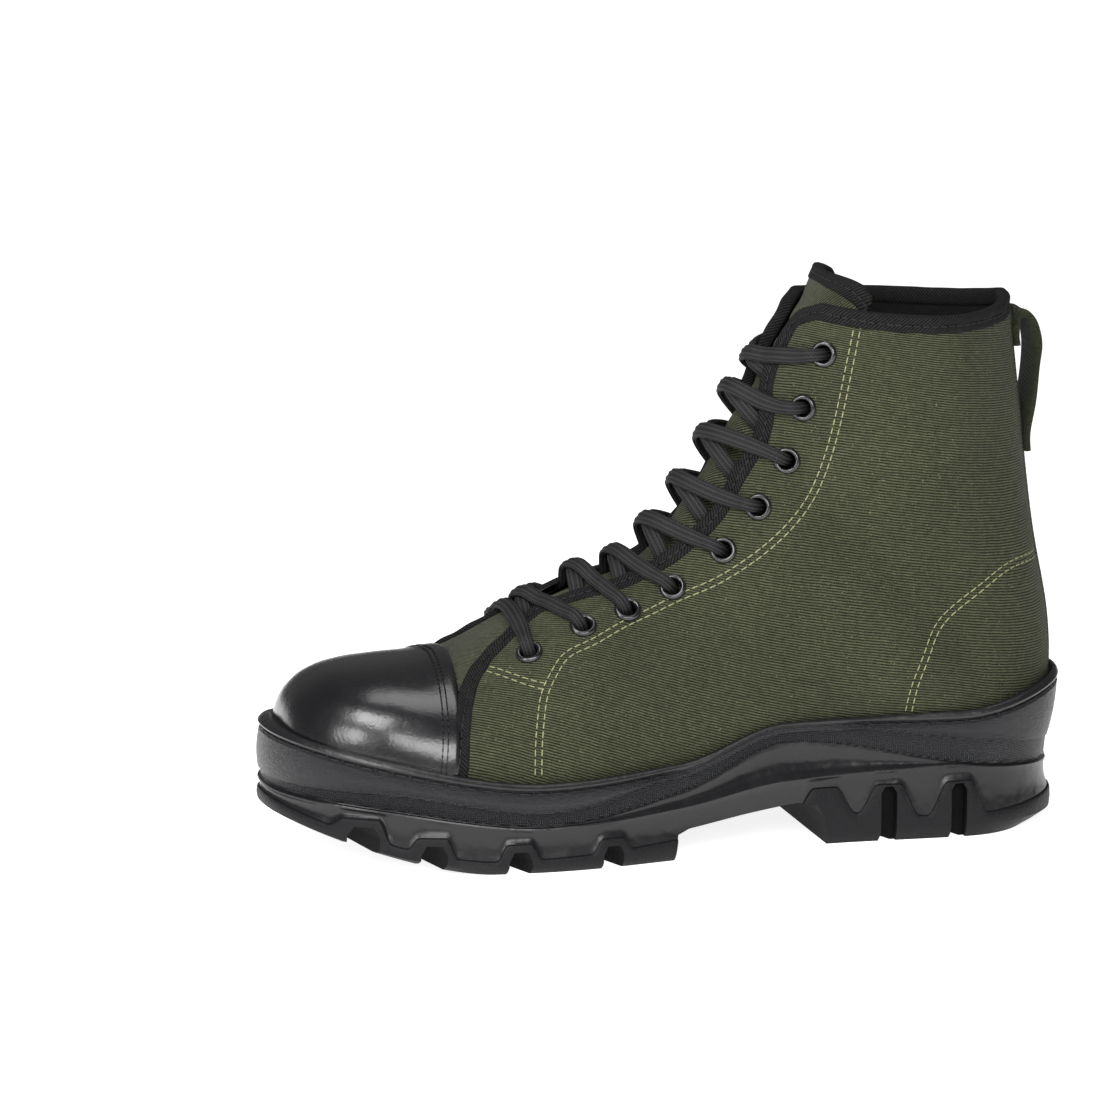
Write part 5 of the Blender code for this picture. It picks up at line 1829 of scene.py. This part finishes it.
def set_camera():
    a, e = CAMERA_AZIMUTH, CAMERA_HEIGHT
    right = Vector((-math.cos(a), math.sin(a), 0))
    back = Vector((math.sin(a) * math.cos(e), math.cos(a) * math.cos(e), math.sin(e)))
    up = back.cross(right)
    data = bpy.data.cameras.new("camera")
    data.lens = CAMERA_LENS
    data.sensor_width = 36
    made = bpy.data.objects.new("camera", data)
    bpy.context.scene.collection.objects.link(made)
    turn = Matrix((right, up, back)).transposed().to_4x4()
    turn.translation = back * CAMERA_AWAY + right * CAMERA_SHIFT[0] + up * CAMERA_SHIFT[1]
    made.matrix_world = turn
    bpy.context.scene.camera = made


def main():
    olive = twill("olive_twill", (0.007, 0.008, 0.004), (0.075, 0.082, 0.044), 0.00105)
    vamp = twill("vamp_twill", (0.008, 0.009, 0.005), (0.082, 0.087, 0.053), 0.0009)
    strap = twill("strap_twill", (0.006, 0.008, 0.004), (0.040, 0.047, 0.024), 0.0011)
    dull = {"mottle": 0.1, "specks": 0.1, "sheen": 0.0}
    tape = twill("black_tape", (0.002, 0.002, 0.002), (0.019, 0.019, 0.019), 0.0010, **dull)
    lining = twill("black_lining", (0.003, 0.003, 0.003), (0.012, 0.012, 0.012), 0.0010, **dull)
    pale = plain("pale_thread", (0.24, 0.24, 0.13), 0.8, bumps=((1800, 2, 0.0001),), specular=0.2)
    black = plain("black_thread", (0.008, 0.008, 0.009), 0.5, specular=0.3)
    # Near-black for the needle holes: painted shade in the holes.
    hole_shade = plain("needle_hole_shade", (0.002, 0.002, 0.002), 0.9, specular=0.0)
    hide = ((900, 3, 0.00007), (60, 2, 0.0003))
    leather = plain("black_leather", (0.004, 0.004, 0.005), 0.27, 0.45, hide, coat_rough=0.13, vary=0.2)
    metal = plain("black_enamel", (0.006, 0.006, 0.007), 0.24, 0.5, specular=0.5)
    lip = plain("lip_rubber", (0.009, 0.009, 0.010), 0.34, 0.0, ((240, 3, 0.0004),), vary=0.25, specular=0.45)
    wall = grained("grained_rubber", (0.024, 0.024, 0.027), 0.27)
    band = knurled("knurled_rubber", (0.022, 0.022, 0.025), 0.31)
    wavy, fine = ((120, 2, 0.0004),), ((900, 3, 0.0003),)
    low = plain("smooth_rubber", (0.007, 0.007, 0.008), 0.30, 0.0, wavy, vary=0.3, specular=0.40)
    tread = plain("tread_rubber", (0.005, 0.005, 0.006), 0.50, 0.0, fine, vary=0.2, specular=0.2)
    # Darker rubber for the insides of the notches and pockets: painted shade in the recesses.
    cut = plain("notch_shade_rubber", (0.003, 0.003, 0.003), 0.7, 0.0, fine, specular=0.1)
    cord = braid("lace_knit", (0.002, 0.002, 0.002), (0.022, 0.022, 0.023))
    board = plain("insole_cover", (0.012, 0.012, 0.012), 0.8, bumps=((700, 2, 0.0002),))
    skin = Skin()
    eyes = eyelet_frames(skin)
    build_shell(skin, eyes, vamp, lining)
    build_quarters(skin, eyes, olive)
    build_seams(skin, pale, hole_shade)
    build_binding(skin, tape, black, hole_shade)
    build_scene_cap(skin, leather, black, hole_shade)
    build_scene_tongue(skin, vamp, tape, black, hole_shade)
    build_back(skin, olive)
    build_scene_loop(strap)
    build_scene_eyelets(eyes, metal)
    build_scene_lace(skin, cord)
    build_scene_sole(skin, (lip, wall, band, low, tread, cut), black)
    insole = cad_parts["insole"]
    insole.data.materials.clear()
    insole.data.materials.append(board)
    set_stage()
    set_camera()


main()
